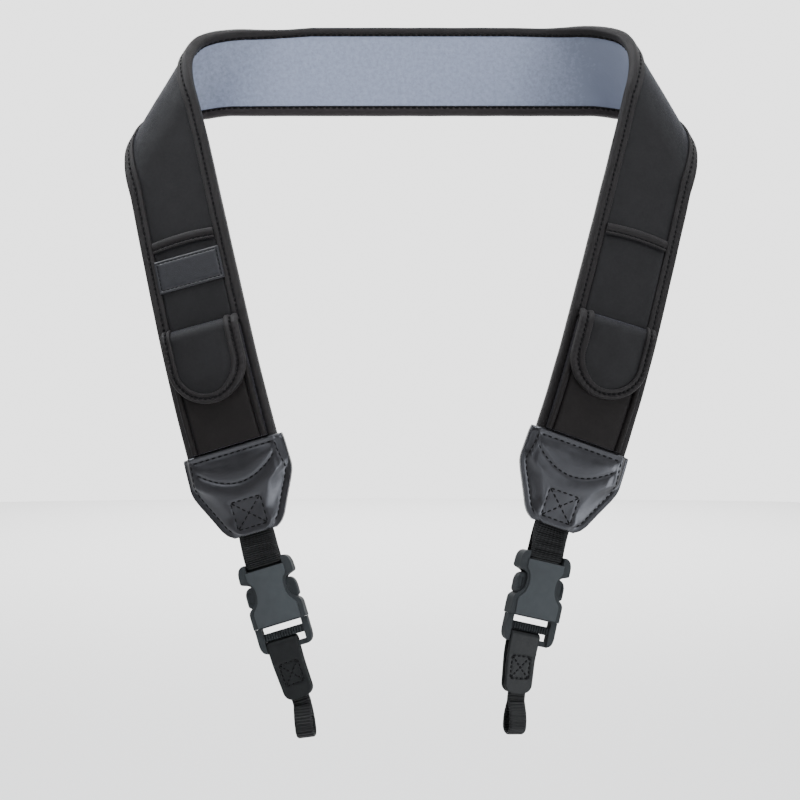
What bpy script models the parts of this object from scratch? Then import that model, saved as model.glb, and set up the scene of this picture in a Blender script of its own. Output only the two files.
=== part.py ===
"""Camera neck strap, padded, kept in the form it has when it hangs round a neck.

Metres, +Z up. The back band faces -Y with its lining, and both shoulder parts come forward and
down towards -Y. The origin is the middle of the back band's lining face.

Every soft piece is drawn flat first, in millimetres:
  s  distance along the strap from the middle of the back band
  u  distance across the strap, positive towards the edge next to the neck
  h  height above the lining face, positive outwards
and place() then carries each flat point round the turns of its side.
"""
import math
from collections import namedtuple

import bmesh
import bpy
from mathutils import Matrix, Vector

MM = 0.001
GAP = 0.3                      # between pieces that touch on the real strap

# ---------------------------------------------------------------- driving dimensions, millimetres
PAD_WIDTH = 51.5               # over the bindings
PAD_FOAM = 4.0                 # foam and face fabric together
LINING_THICK = 0.8
BINDING_FACE = 7.5             # how far the edge tape reaches in from the edge
BINDING_BACK = 4.6             # and on the lining's side
TAPE_THICK = 0.8

PATCH_AT = 375.0               # top edge of the end patch, along the strap from its middle
PATCH_LENGTH = 49.5
PATCH_THICK = 1.2
PATCH_RIM = 2.1                # where its two leaves meet outside the pad

POCKET_MOUTH = 121.9           # slip pocket's mouth, above the end patch
MOUTH_BAND = 5.0
LABEL = (38.0, 18.6, 1.0)      # across, along, thick
LABEL_ABOVE = 102.5            # label's middle, above the end patch

FLAP_WIDTH = 43.6
FLAP_TOP_ABOVE = 70.6          # top of the flap, above the end patch
FLAP_ROUND_ABOVE = 47.0        # where the flap's round end starts, above the end patch
FLAP_ROLL = 7.0                # length of the rolled fold at its top
FLAP_THICK = 2.4
FLAP_TAPE_START = 9.0          # below the flap's top
FLAP_TAPE_FACE = 5.3
POUCH_START = 6.0              # below the flap's top
POUCH_WIDTH = 43.0
POUCH_DEPTH = 5.0
POUCH_WALL = 1.3

WEBBING_WIDTH = 20.0
WEBBING_THICK = 1.2
BUCKLE_AT = PATCH_AT + 101.0   # lower edge of the buckle's socket, along the strap
SOCKET_THICK = 9.4
SOCKET_WALL = 1.8
BAR_UP = 33.8                  # the webbing's bar, above the socket's lower edge
BAR_HIGH = 2.2
BAR_THICK = 2.0
BAR_LOOP = 1.8                 # inner radius of the webbing round the bar
PLUG_THICK = 5.2
FOOT_BAR_THICK = 2.6
SLOT_HALF = 11.4               # half the length of the plug's slots
SLOTS = ((-3.5, -0.3), (-11.6, -7.9))   # low and high edge of each, from the socket's lower edge
TAB_WIDTH = 17.8
TAB_END_WIDTH = 16.2
TAB_LENGTH = 41.7              # below the socket's lower edge
TAB_THICK = 1.3
TAB_SHIFT = 2.2                # both tabs sit this much towards -X in their slots
TAB_LOOP = 1.7                 # inner radius of the tab round the plug's foot bar
TAB_TURN = 11.4                # middle of that turn, below the socket's lower edge
LUG_WEBBING = 10.0
LUG_THICK = 1.0
LUG_LENGTH = 64.0
LUG_OUTWARD = 0.4              # off the tab's middle
LUG_HOLE = 8.0                 # clear width of the loop that takes the camera's lug

# ---------------------------------------------------------------- heights above the lining face
PAD_LOW = LINING_THICK + GAP
PAD_TOP = PAD_LOW + PAD_FOAM
TAPE_LOW = LINING_THICK - TAPE_THICK - 0.1
TAPE_TOP = PAD_TOP + GAP + TAPE_THICK
ON_STRAP = TAPE_TOP + GAP      # underside of what is sewn on top of strap and tape
POUCH_TOP = ON_STRAP + POUCH_DEPTH
FLAP_LOW = POUCH_TOP + 0.4
FLAP_TOP = FLAP_LOW + FLAP_THICK
MID = PAD_LOW + 1.45           # middle plane of webbing and buckles

HALF = PAD_WIDTH / 2
TAPE_IN = HALF - BINDING_FACE  # inner edge of the edge tape
PANEL_HALF = TAPE_IN - GAP
TAPE_BACK_IN = HALF - BINDING_BACK
LINING_HALF = TAPE_BACK_IN - GAP

# ---------------------------------------------------------------- the turns of the strap
# kind  bend rolls towards the lining, side turns in the strap's own plane towards the neck edge
#       and twist turns about the strap's length
# at    distance along the strap to the middle of the turn
# over  length that the turn is spread over, square to its line
# turn  degrees
# line  degrees between the strap's length and the line that the turn follows across the strap
Turn = namedtuple("Turn", "kind at over turn line")
Side = namedtuple("Side", "name sign turns")


def shoulder_turns(fold_at, fold_line, droop, patch_turn):
    """Turns from the back band over the shoulder to the end patch; the second one is the fold."""
    return [
        Turn("side", fold_at - DROOP_BEFORE, DROOP_OVER, droop, DROOP_LINE),
        Turn("bend", fold_at, FOLD_OVER, FOLD_TURN, fold_line),
        Turn("bend", 300.0, 120.0, 4.0, 90.0),
        Turn("side", 345.0, 80.0, patch_turn, 90.0),
    ]


def hardware_turns(webbing, twist, buckle, tab, lug):
    """Small turns of the webbing, the buckle, the tab and the lug webbing, all in degrees."""
    return [
        Turn("side", PATCH_AT + 53.0, 6.0, webbing, 90.0),
        Turn("twist", PATCH_AT + 56.0, 12.0, twist, 90.0),
        Turn("side", PATCH_AT + 59.0, 6.0, buckle, 90.0),
        Turn("side", BUCKLE_AT + 21.0, 10.0, tab, 90.0),
        Turn("side", BUCKLE_AT + 45.0, 5.0, lug, 90.0),
    ]


FOLD_TURN = 166.0
FOLD_OVER = 68.0
DROOP_BEFORE = 31.0
DROOP_OVER = 30.0
DROOP_LINE = 73.0
LEFT = Side("left", -1, shoulder_turns(147.8, 45.1, -13.5, 2.4)
            + hardware_turns(-2.9, -4.0, 3.8, 3.5, -12.5))
RIGHT = Side("right", 1, shoulder_turns(148.6, 46.2, -13.0, 3.8)
             + hardware_turns(-4.7, 9.0, -1.6, -7.3, -3.0))
SIDES = (LEFT, RIGHT)

FOLD = 1                       # the fold's place in each list of turns
FLAT_BACK = 60.0               # half of the back band that is quite flat
FRONT_START = 235.0            # from here on the strap has no fold lines across it
FOLD_STEPS = 16


def turn_matrix(turn, s, u):
    """The rigid move that one turn gives to the strap at the flat point (s, u)."""
    line = math.radians(turn.line)
    square = Vector((math.sin(line), math.cos(line), 0))
    lift = Vector((0, 0, -1)) if turn.kind == "bend" else Vector((-math.cos(line), math.sin(line), 0))
    start = Vector((turn.at, 0, 0)) - square * turn.over / 2
    reach = min(max((Vector((s, u, 0)) - start).dot(square), 0.0), turn.over)
    total = math.radians(turn.turn)
    angle = total * reach / turn.over
    if turn.kind == "twist":
        middle = Matrix.Translation((0, 0, MID))
        return middle @ Matrix.Rotation(angle, 4, "X") @ middle.inverted()
    radius = turn.over / total
    arc = square * radius * math.sin(angle) + lift * radius * (1 - math.cos(angle))
    roll = Matrix.Rotation(angle, 4, square.cross(lift))
    return Matrix.Translation(start + arc) @ roll @ Matrix.Translation(-start - square * reach)


def strap_matrix(side, s, u):
    move = Matrix.Identity(4)
    for turn in side.turns:
        move = move @ turn_matrix(turn, s, u)
    return move


BAND_WIDTH = (FLAT_BACK, 1.03, 1.15)
FRONT_WIDTHS = [
    (200.0, 0.995, 0.0),
    (300.0, 1.03, 0.0),
    (PATCH_AT + 5.0, 1.03, 0.0),
    (PATCH_AT + 45.0, 1.0, 0.0),
]
WIDTHS = {  # along the strap, share of the full width, rise of the middle line: narrower where it is pulled
    "left": [BAND_WIDTH, (108.0, 0.96, -0.6), (135.0, 0.94, -1.2)] + FRONT_WIDTHS,
    "right": [BAND_WIDTH, (115.0, 1.0, 0.4)] + FRONT_WIDTHS,
}


def place(side, s, u, h):
    """World position, in metres, of a flat point given in millimetres."""
    widths = WIDTHS[side.name]
    u = u * from_table(widths, s, 1) + from_table(widths, s, 2)
    point = strap_matrix(side, s, u) @ Vector((s, u, h))
    return Vector((side.sign * point.x, point.z, point.y)) * MM


def place_whole(s, u, h):
    """The same on a strap drawn in one length, with s negative on the left side."""
    side = LEFT if s < 0 else RIGHT
    return place(side, abs(s), u, h)


def hardware_frame(side, s):
    """Frame of a hard piece at s: X across towards +X, Y up the strap, Z outwards; metres."""
    origin = place(side, s, 0, MID)
    across = (place(side, s, side.sign * -1.0, MID) - origin).normalized()
    outward = (place(side, s, 0, MID + 1.0) - origin).normalized()
    frame = Matrix((across, outward.cross(across), outward)).transposed().to_4x4()
    frame.translation = origin
    return frame


# ---------------------------------------------------------------- making solids
def start_scene():
    for old in list(bpy.data.objects):
        bpy.data.objects.remove(old)
    parts = bpy.data.collections.new("camera_neck_strap")
    cutters = bpy.data.collections.new("cutters")
    bpy.context.scene.collection.children.link(parts)
    bpy.context.scene.collection.children.link(cutters)
    return parts, cutters


def material(name, color, roughness, metallic=0.0):
    made = bpy.data.materials.new(name)
    made.use_nodes = True
    shader = made.node_tree.nodes["Principled BSDF"]
    shader.inputs["Base Color"].default_value = (*color, 1.0)
    shader.inputs["Roughness"].default_value = roughness
    shader.inputs["Metallic"].default_value = metallic
    return made


def add_object(name, mesh, look):
    piece = bpy.data.objects.new(name, mesh)
    mesh.materials.append(look)
    PARTS.objects.link(piece)
    return piece


def soft_solid(name, loops, look, carry, smooth=40.0):
    """Closed solid lofted through loops of flat points, then carried to its place by carry()."""
    shape = bmesh.new()
    rings = [[shape.verts.new(point) for point in loop] for loop in loops]
    for ring, after in zip(rings, rings[1:]):
        for i in range(len(ring)):
            shape.faces.new((ring[i - 1], ring[i], after[i], after[i - 1]))
    caps = [shape.faces.new(rings[0]), shape.faces.new(rings[-1])]
    shape.normal_update()
    bmesh.ops.triangulate(shape, faces=caps)
    middle = len(rings) // 2
    origin = carry(*rings[middle][0].co)
    for vertex in shape.verts:
        vertex.co = carry(*vertex.co) - origin
    bmesh.ops.recalc_face_normals(shape, faces=shape.faces)
    if shape.calc_volume(signed=True) < 0:
        bmesh.ops.reverse_faces(shape, faces=shape.faces)
    mesh = bpy.data.meshes.new(name)
    shape.to_mesh(mesh)
    shape.free()
    mesh.shade_smooth()
    mesh.set_sharp_from_angle(angle=math.radians(smooth))
    piece = add_object(name, mesh, look)
    piece.location = origin
    return piece


def spread(first, last, steps):
    return [first + (last - first) * i / steps for i in range(steps + 1)]


def on_side(side):
    return lambda s, u, h: place(side, s, u, h)


def from_table(rows, key, column):
    """Straight-line reading of a table whose first column is the key."""
    if key <= rows[0][0]:
        return rows[0][column]
    for low, high in zip(rows, rows[1:]):
        if key <= high[0]:
            share = (key - low[0]) / (high[0] - low[0])
            return low[column] + share * (high[column] - low[column])
    return rows[-1][column]


# ---------------------------------------------------------------- the padded strap
Station = namedtuple("Station", "s slant")


def side_stations(side, last):
    """Where the long pieces have a section. Across the fold the sections lie along its line."""
    fold = side.turns[FOLD]
    line = math.radians(fold.line)
    slant = 1 / math.tan(line)
    reach = fold.over / 2 / math.sin(line)
    back = list(zip(spread(FLAT_BACK, fold.at - reach, 5), spread(0, slant, 5)))
    over = [(s, slant) for s in spread(fold.at - reach, fold.at + reach, FOLD_STEPS)]
    chest = list(zip(spread(fold.at + reach, FRONT_START, 4), spread(slant, 0, 4)))
    front = [(s, 0) for s in spread(FRONT_START, PATCH_AT - 8, 5)]
    end = [(PATCH_AT + past, 0) for past in last]
    return [Station(*row) for row in back + over[1:] + chest[1:] + front[1:] + end]


def whole_strap(section, last):
    """Loops of a piece that runs from the left end patch, round the back, to the right one."""
    left = [Station(-at.s, -at.slant) for at in reversed(side_stations(LEFT, last))]
    stations = left + [Station(0.0, 0.0)] + side_stations(RIGHT, last)
    loops = []
    for at in stations:
        points = section(abs(at.s) - PATCH_AT)
        loops.append([(at.s - u * at.slant, u, h) for u, h in points])
    return loops


FACE_LINES = spread(PANEL_HALF, -PANEL_HALF, 4)
LINING_LINES = spread(LINING_HALF, -LINING_HALF, 4)
# past: beyond the patch's top edge
PAD_END = [  # past, half width, low, top
    (2.0, HALF - 1.1, PAD_LOW, PAD_TOP),
    (12.0, HALF - 1.5, PAD_LOW, PAD_TOP),
    (20.0, HALF - 5.0, PAD_LOW, PAD_TOP),
    (28.0, 12.5, PAD_LOW + 0.5, PAD_TOP - 0.5),
]


def pad_section(past):
    half, low, top = (from_table(PAD_END, past, column) for column in (1, 2, 3))
    edge = 1.2
    shrink = min(1.0, (half - 2 * edge) / LINING_HALF)
    flat_half = half - edge
    under = [(u, low) for u in [flat_half] + [u * shrink for u in LINING_LINES] + [-flat_half]]
    over = [(u, top) for u in [-flat_half] + [-u * shrink for u in FACE_LINES] + [flat_half]]
    inner_edge = [(-half, low + edge), (-half, top - edge)]
    return [(half, low + edge)] + under + inner_edge + over + [(half, top - edge)]


def lining_section(past):
    inner = [(u, 0.0) for u in reversed(LINING_LINES)]
    return inner + [(u, LINING_THICK) for u in LINING_LINES]


def tape_section(toward):
    """The edge tape folded round the pad's edge, as a closed loop of (u, h)."""
    corner = 1.4
    inner = HALF - TAPE_THICK
    inner_corner = 0.9
    loop = [(TAPE_BACK_IN, TAPE_LOW), (HALF - corner, TAPE_LOW), (HALF, TAPE_LOW + corner),
            (HALF, TAPE_TOP - corner), (HALF - corner, TAPE_TOP), (TAPE_IN, TAPE_TOP),
            (TAPE_IN, PAD_TOP + GAP), (inner - inner_corner, PAD_TOP + GAP),
            (inner, PAD_TOP + GAP - inner_corner), (inner, LINING_THICK + inner_corner),
            (inner - inner_corner, LINING_THICK), (TAPE_BACK_IN, LINING_THICK)]
    return lambda past: [(toward * u, h) for u, h in loop]


def make_strap():
    soft_solid("pad", whole_strap(pad_section, (2.0, 12.0, 20.0, 28.0)), LOOKS["foam"], place_whole)
    soft_solid("lining", whole_strap(lining_section, (5.0,)), LOOKS["lining"], place_whole)
    soft_solid("binding_neck_side", whole_strap(tape_section(1), (5.0,)), LOOKS["tape"], place_whole)
    soft_solid("binding_outer_side", whole_strap(tape_section(-1), (5.0,)), LOOKS["tape"], place_whole)


# ---------------------------------------------------------------- slip pocket and label
def slab_loops(stations, half, low, top, edge=0.3):
    """A thin plate across the strap with its long edges eased."""
    section = [(half, low), (-half, low), (-half, top - edge), (edge - half, top),
               (half - edge, top), (half, top - edge)]
    return [[(s, u, h) for u, h in section] for s in stations]


def make_slip_pocket(side):
    mouth = PATCH_AT - POCKET_MOUTH
    panel = slab_loops(spread(mouth, PATCH_AT + 5, 8), PANEL_HALF, PAD_TOP + GAP, TAPE_TOP)
    soft_solid("slip_pocket_" + side.name, panel, LOOKS["face"], on_side(side))
    # the tape is folded over the panel's upper edge: a lip in front of the edge and a face on top
    lip = mouth - GAP - TAPE_THICK
    face_low = TAPE_TOP + GAP
    face_top = face_low + TAPE_THICK
    profile = [(lip, PAD_TOP + GAP), (lip, face_top - 0.4), (lip + 0.4, face_top),
               (mouth + MOUTH_BAND, face_top), (mouth + MOUTH_BAND, face_low),
               (mouth - GAP, face_low), (mouth - GAP, PAD_TOP + GAP)]
    loops = [[(s, u, h) for s, h in profile] for u in spread(-PANEL_HALF, PANEL_HALF, 4)]
    soft_solid("slip_pocket_binding_" + side.name, loops, LOOKS["tape"], on_side(side))


def make_label(side):
    across, along, thick = LABEL
    middle = PATCH_AT - LABEL_ABOVE
    corner = 1.2
    rows = [(-along / 2, corner), (corner - along / 2, 0.0),
            (along / 2 - corner, 0.0), (along / 2, corner)]
    loops = []
    for offset, cut in rows:
        half = across / 2 - cut
        section = [(half, 0.0), (-half, 0.0), (-half, thick), (half, thick)]
        loops.append([(middle + offset, u, ON_STRAP + h) for u, h in section])
    soft_solid("label_patch_" + side.name, loops, LOOKS["label"], on_side(side))


# ---------------------------------------------------------------- flap pocket
POUCH = [  # below the pouch's mouth: along, height of the front wall, height of the hollow behind it
    (0.0, 0.82, 0.55),
    (6.0, 1.0, 0.74),
    (39.0, 1.0, 0.74),
    (54.6, 0.8, 0.5),
    (61.6, 0.62, 0.30),
    (64.0, 0.56, 0.04),
]


def pouch_section(rise, hollow):
    half = POUCH_WIDTH / 2
    top = ON_STRAP + POUCH_DEPTH * rise
    roof = ON_STRAP + POUCH_DEPTH * hollow
    ease = min(1.8, (top - ON_STRAP) * 0.5)
    low = ON_STRAP
    inner = half - POUCH_WALL
    shoulder = low + (roof - low) * 0.7
    return [(half, low), (half, top - ease), (half - ease, top), (ease - half, top), (-half, top - ease),
            (-half, low), (-inner, low), (-inner, shoulder), (0.8 - inner, roof), (inner - 0.8, roof),
            (inner, shoulder), (inner, low)]


def make_pouch(side):
    top = PATCH_AT - FLAP_TOP_ABOVE + POUCH_START
    loops = []
    for along, rise, hollow in POUCH:
        loops.append([(top + along, u, h) for u, h in pouch_section(rise, hollow)])
    soft_solid("flap_pocket_" + side.name, loops, LOOKS["face"], on_side(side))


def flap_profile(top, round_at, tip):
    """Side view (s, h) of the flap: sewn down above the pouch, rolled over it, out to the tip."""
    outer = []
    inner = []
    for degrees in (0, 30, 60, 90):
        turn = math.radians(degrees)
        outer.append((top + FLAP_ROLL * (1 - math.cos(turn)),
                      ON_STRAP + (FLAP_TOP - ON_STRAP) * math.sin(turn)))
        inner.insert(0, (top + FLAP_ROLL - (FLAP_ROLL - FLAP_THICK) * math.cos(turn),
                         ON_STRAP + (FLAP_LOW - ON_STRAP) * math.sin(turn)))
    edge = 0.7
    end = [(round_at, FLAP_TOP), (tip - edge, FLAP_TOP), (tip, FLAP_TOP - edge),
           (tip, FLAP_LOW), (round_at, FLAP_LOW)]
    return outer + end + inner


def make_flap(side):
    top = PATCH_AT - FLAP_TOP_ABOVE
    centre = PATCH_AT - FLAP_ROUND_ABOVE
    reach = FLAP_WIDTH / 2
    radius = reach - TAPE_THICK - GAP
    loops = []
    for degrees in spread(-86, 86, 11):
        u = radius * math.sin(math.radians(degrees))
        tip = centre + radius * math.cos(math.radians(degrees))
        loops.append([(s, u, h) for s, h in flap_profile(top, centre, tip)])
    soft_solid("flap_" + side.name, loops, LOOKS["face"], on_side(side))
    # tape round the flap's edge, from the fold down one side, round the end and up the other side
    route = [(top + FLAP_TAPE_START, 90.0)]
    route += [(centre, degrees) for degrees in spread(90, -90, 14)]
    route += [(top + FLAP_TAPE_START, -90.0)]
    tape_top = FLAP_TOP + GAP + TAPE_THICK
    edge = 0.4
    section = [(0.0, FLAP_LOW), (0.0, tape_top - edge), (edge, tape_top), (FLAP_TAPE_FACE, tape_top),
               (FLAP_TAPE_FACE, FLAP_TOP + GAP), (TAPE_THICK + GAP, FLAP_TOP + GAP),
               (TAPE_THICK, FLAP_TOP), (TAPE_THICK, FLAP_LOW)]
    loops = []
    for s, degrees in route:
        ahead = math.cos(math.radians(degrees))
        across = math.sin(math.radians(degrees))
        loops.append([(s + (reach - inward) * ahead, (reach - inward) * across, h)
                      for inward, h in section])
    soft_solid("flap_binding_" + side.name, loops, LOOKS["tape"], on_side(side))


# ---------------------------------------------------------------- end patch
PATCH = [  # past the top edge: along, half width, inside of the front leaf, inside of the back leaf
    (0.0, 28.3, ON_STRAP, TAPE_LOW - GAP),
    (3.0, 28.7, ON_STRAP, TAPE_LOW - GAP),
    (10.0, 29.0, ON_STRAP, TAPE_LOW - GAP),
    (18.0, 29.3, 6.0, -0.1),
    (21.5, 28.7, 5.9, 0.1),
    (26.0, 26.9, 5.6, 0.3),
    (35.5, 22.3, 4.8, 0.7),
    (44.0, 18.3, 4.3, 0.9),
    (47.5, 15.6, 4.2, 0.9),
    (49.0, 13.2, 4.2, 0.9),
    (PATCH_LENGTH, 11.8, 4.2, 0.9),
]
LEAVES_MEET = MID


def leaf_section(half, inside, outward):
    """One leaf of the end patch, from a flat rim over the bulge of what it holds."""
    inner = max(half - PATCH_RIM, WEBBING_WIDTH / 2 + 0.8)
    rim = LEAVES_MEET + outward * GAP / 2
    bend = inside - outward * min(1.5, 0.4 * abs(inside - rim))
    skin = outward * PATCH_THICK
    out = min(inner + PATCH_THICK, half - 0.2)
    right = [(half, rim), (inner, rim), (inner, bend), (inner - 0.5, inside)]
    left = [(-u, h) for u, h in reversed(right)]
    cover_left = [(-half, rim + skin), (-out, rim + skin), (0.2 - out, bend + 0.6 * skin),
                  (0.3 - inner, inside + skin)]
    cover_right = [(-u, h) for u, h in reversed(cover_left)]
    return right + left + cover_left + cover_right


def make_end_patch(side):
    for name, column, outward in (("front", 2, 1), ("back", 3, -1)):
        loops = []
        for row in PATCH:
            section = leaf_section(row[1], row[column], outward)
            loops.append([(PATCH_AT + row[0], u, h) for u, h in section])
        soft_solid("end_patch_" + name + "_" + side.name, loops, LOOKS["leather"], on_side(side))


# ---------------------------------------------------------------- webbing, tab and lug loop
def hairpin(spine, turn_at, turn_radius, thick, steps=6):
    """Closed side view of a band that runs out, round a bar and back.

    spine lists (s, half gap) from the open ends to the turn; the loop is symmetric about MID.
    """
    facing = 1 if turn_at > spine[-1][0] else -1
    inner = [(s, gap) for s, gap in spine]
    outer = [(s, gap + thick) for s, gap in spine]
    for degrees in spread(90, 0, steps):
        turn = math.radians(degrees)
        inner.append((turn_at + facing * turn_radius * math.cos(turn), turn_radius * math.sin(turn)))
        far = turn_radius + thick
        outer.append((turn_at + facing * far * math.cos(turn), far * math.sin(turn)))
    upper = [(s, MID + g) for s, g in outer] + [(s, MID - g) for s, g in reversed(outer[:-1])]
    lower = [(s, MID - g) for s, g in inner] + [(s, MID + g) for s, g in reversed(inner[:-1])]
    return upper + lower


def make_webbing(side):
    close = GAP / 2
    hidden = [(PATCH_AT + past, close) for past in (31.0, 40.0)]
    opening = [(PATCH_AT + 48.0 + past, close + 0.1 * past) for past in spread(0.0, 15.0, 5)]
    profile = hairpin(hidden + opening, BUCKLE_AT - BAR_UP, BAR_LOOP, WEBBING_THICK)
    loops = [[(s, u, h) for s, h in profile] for u in (-WEBBING_WIDTH / 2, WEBBING_WIDTH / 2)]
    soft_solid("webbing_" + side.name, loops, LOOKS["webbing"], on_side(side))


def rounded_end(u, half, corner):
    """How much shorter a band is at u, for an end with round corners."""
    into = abs(u) - (half - corner)
    return 0.0 if into <= 0 else corner - math.sqrt(max(corner * corner - into * into, 0.0))


def tab_share(s):
    """The tab tapers a little from its turn to its end."""
    along = (s - BUCKLE_AT - TAB_TURN) / (TAB_LENGTH - TAB_TURN)
    return 1 + (TAB_END_WIDTH / TAB_WIDTH - 1) * max(along, 0.0)


def make_tab(side):
    half = TAB_WIDTH / 2
    corner = 5.0
    beside_lug = LUG_THICK + 1.5 * GAP
    shift = side.sign * TAB_SHIFT
    loops = []
    for u in (-half, 0.7 - half, corner - half, half - corner, half - 0.7, half):
        end = BUCKLE_AT + TAB_LENGTH - rounded_end(u, half, corner)
        spine = [(end, beside_lug), (end - 8, beside_lug), (BUCKLE_AT + 26, beside_lug),
                 (BUCKLE_AT + 20, TAB_LOOP), (BUCKLE_AT + 16, TAB_LOOP)]
        profile = hairpin(spine, BUCKLE_AT + TAB_TURN, TAB_LOOP, TAB_THICK, 5)
        loops.append([(s, u * tab_share(s) + shift, h) for s, h in profile])
    soft_solid("tab_" + side.name, loops, LOOKS["tab"], on_side(side))


def make_lug_loop(side):
    close = GAP / 2
    wide = LUG_HOLE / 2
    turn_at = BUCKLE_AT + LUG_LENGTH - wide - LUG_THICK
    spine = [(BUCKLE_AT + 27, close), (BUCKLE_AT + 41, close), (BUCKLE_AT + 46, close),
             (BUCKLE_AT + 49, close + 1.5), (turn_at - 7.0, wide - 1.0), (turn_at - 3.5, wide - 0.1)]
    profile = hairpin(spine, turn_at, wide, LUG_THICK, 5)
    half = LUG_WEBBING / 2
    shift = side.sign * TAB_SHIFT - LUG_OUTWARD
    loops = [[(s, u + shift, h) for s, h in profile] for u in (-half, half)]
    soft_solid("lug_loop_" + side.name, loops, LOOKS["webbing"], on_side(side))


# ---------------------------------------------------------------- side-release buckle
# Outlines are half of the face view: x across, y up from the socket's lower edge.
SOCKET_OUTLINE = [(14.6, 0.0), (15.1, 0.5), (15.1, 9.9), (10.4, 13.6), (9.3, 15.8), (9.0, 20.5),
                  (10.0, 23.9), (14.9, 25.6), (15.4, 26.6), (15.2, 31.8), (13.9, 34.6), (11.9, 35.6)]
PLUG_OUTLINE = [(11.4, -14.6), (13.5, -13.7), (14.7, -11.8), (15.1, -9.5), (15.1, -0.35),
                (12.9, -0.35), (12.9, 11.7), (14.6, 12.8), (14.6, 19.0), (13.9, 21.3), (12.5, 22.8), (10.6, 23.4),
                (8.6, 22.6), (8.1, 18.0), (8.2, 8.0), (8.7, 3.4), (2.2, 3.4), (1.8, 19.5), (0.0, 20.2)]


def outline_object(name, half_outline, holes, thick):
    """A mirrored outline with rectangular holes, filled and given thickness, as a mesh object."""
    flat = bpy.data.curves.new(name, "CURVE")
    flat.dimensions = "2D"
    flat.fill_mode = "BOTH"
    flat.extrude = thick / 2 * MM
    mirrored = [(-x, y) for x, y in reversed(half_outline) if x > 0]
    rings = [half_outline + mirrored]
    rings += [[(-SLOT_HALF, low), (SLOT_HALF, low), (SLOT_HALF, high), (-SLOT_HALF, high)]
              for low, high in holes]
    for ring in rings:
        spline = flat.splines.new("POLY")
        spline.points.add(len(ring) - 1)
        spline.use_cyclic_u = True
        for point, (x, y) in zip(spline.points, ring):
            point.co = (x * MM, y * MM, 0, 1)
    guide = bpy.data.objects.new(name + "_outline", flat)
    CUTTERS.objects.link(guide)
    depsgraph = bpy.context.evaluated_depsgraph_get()
    mesh = bpy.data.meshes.new_from_object(guide.evaluated_get(depsgraph))
    bpy.data.objects.remove(guide)
    shape = bmesh.new()
    shape.from_mesh(mesh)
    bmesh.ops.remove_doubles(shape, verts=shape.verts, dist=0.00001)
    bmesh.ops.recalc_face_normals(shape, faces=shape.faces)
    shape.to_mesh(mesh)
    shape.free()
    mesh.name = name
    mesh.materials.clear()
    return add_object(name, mesh, LOOKS["plastic"])


def ease_edges(piece, width):
    bevel = piece.modifiers.new("eased_edges", "BEVEL")
    bevel.width = width * MM
    bevel.segments = 1
    bevel.limit_method = "ANGLE"
    bevel.angle_limit = math.radians(50)


def cut_box(piece, name, low, high):
    """Take a box out of a hard piece; the corners are in the piece's own frame, millimetres."""
    bpy.ops.mesh.primitive_cube_add(size=1.0)
    cutter = bpy.context.object
    cutter.name = piece.name + "_" + name
    for collection in cutter.users_collection:
        collection.objects.unlink(cutter)
    CUTTERS.objects.link(cutter)
    for vertex in cutter.data.vertices:
        vertex.co = Vector([(low[i] if vertex.co[i] < 0 else high[i]) * MM for i in range(3)])
    cutter.parent = piece
    cutter.hide_render = True
    cutter.display_type = "WIRE"
    cut = piece.modifiers.new(name, "BOOLEAN")
    cut.operation = "DIFFERENCE"
    cut.solver = "EXACT"
    cut.object = cutter


def make_socket(side, frame):
    piece = outline_object("buckle_socket_" + side.name, SOCKET_OUTLINE, (), SOCKET_THICK)
    ease_edges(piece, 0.7)
    wide = WEBBING_WIDTH / 2 + 0.4
    bar_low = BAR_UP - BAR_HIGH / 2
    bar_top = BAR_UP + BAR_HIGH / 2
    bar_half = BAR_THICK / 2
    clear = BAR_LOOP + WEBBING_THICK + GAP
    front_lip = 31.4
    back_lip = 30.3
    past = 9.0                  # cutters reach well past the faces
    top = BAR_UP + past
    cut_box(piece, "mouth_front", (-wide, front_lip, bar_half), (wide, top, past))
    cut_box(piece, "mouth_back", (-wide, back_lip, -past), (wide, top, -bar_half))
    cut_box(piece, "above_bar", (-wide, bar_top, -clear), (wide, top, clear))
    cut_box(piece, "throat", (-wide, back_lip, -clear), (wide, bar_low, clear))
    inside = SOCKET_THICK / 2 - SOCKET_WALL
    cavity_half = 13.3
    cavity_top = 24.5
    cut_box(piece, "cavity", (-cavity_half, -past, -inside), (cavity_half, cavity_top, inside))
    piece.matrix_world = frame


def make_plug(side, frame):
    piece = outline_object("buckle_plug_" + side.name, PLUG_OUTLINE, SLOTS, PLUG_THICK)
    half = FOOT_BAR_THICK / 2
    past = 9.0
    low = SLOTS[1][0] - past
    high = SLOTS[1][0] + GAP
    cut_box(piece, "foot_front", (-SLOT_HALF, low, half), (SLOT_HALF, high, past))
    cut_box(piece, "foot_back", (-SLOT_HALF, low, -past), (SLOT_HALF, high, -half))
    piece.matrix_world = frame


def make_buckle(side):
    frame = hardware_frame(side, BUCKLE_AT)
    make_socket(side, frame)
    make_plug(side, frame)


# ---------------------------------------------------------------- the whole strap
PARTS, CUTTERS = start_scene()
LOOKS = {
    "foam": material("foam_and_face_fabric", (0.028, 0.028, 0.034), 0.75),
    "face": material("face_fabric", (0.026, 0.026, 0.031), 0.75),
    "lining": material("lining_fabric", (0.30, 0.33, 0.40), 0.8),
    "tape": material("edge_tape", (0.020, 0.017, 0.017), 0.8),
    "label": material("label", (0.05, 0.055, 0.065), 0.45),
    "leather": material("patch_leather", (0.028, 0.026, 0.032), 0.3),
    "webbing": material("webbing_weave", (0.010, 0.011, 0.012), 0.85),
    "plastic": material("buckle_plastic", (0.060, 0.066, 0.070), 0.5),
    "tab": material("tab_leather", (0.026, 0.028, 0.029), 0.55),
}

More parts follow.
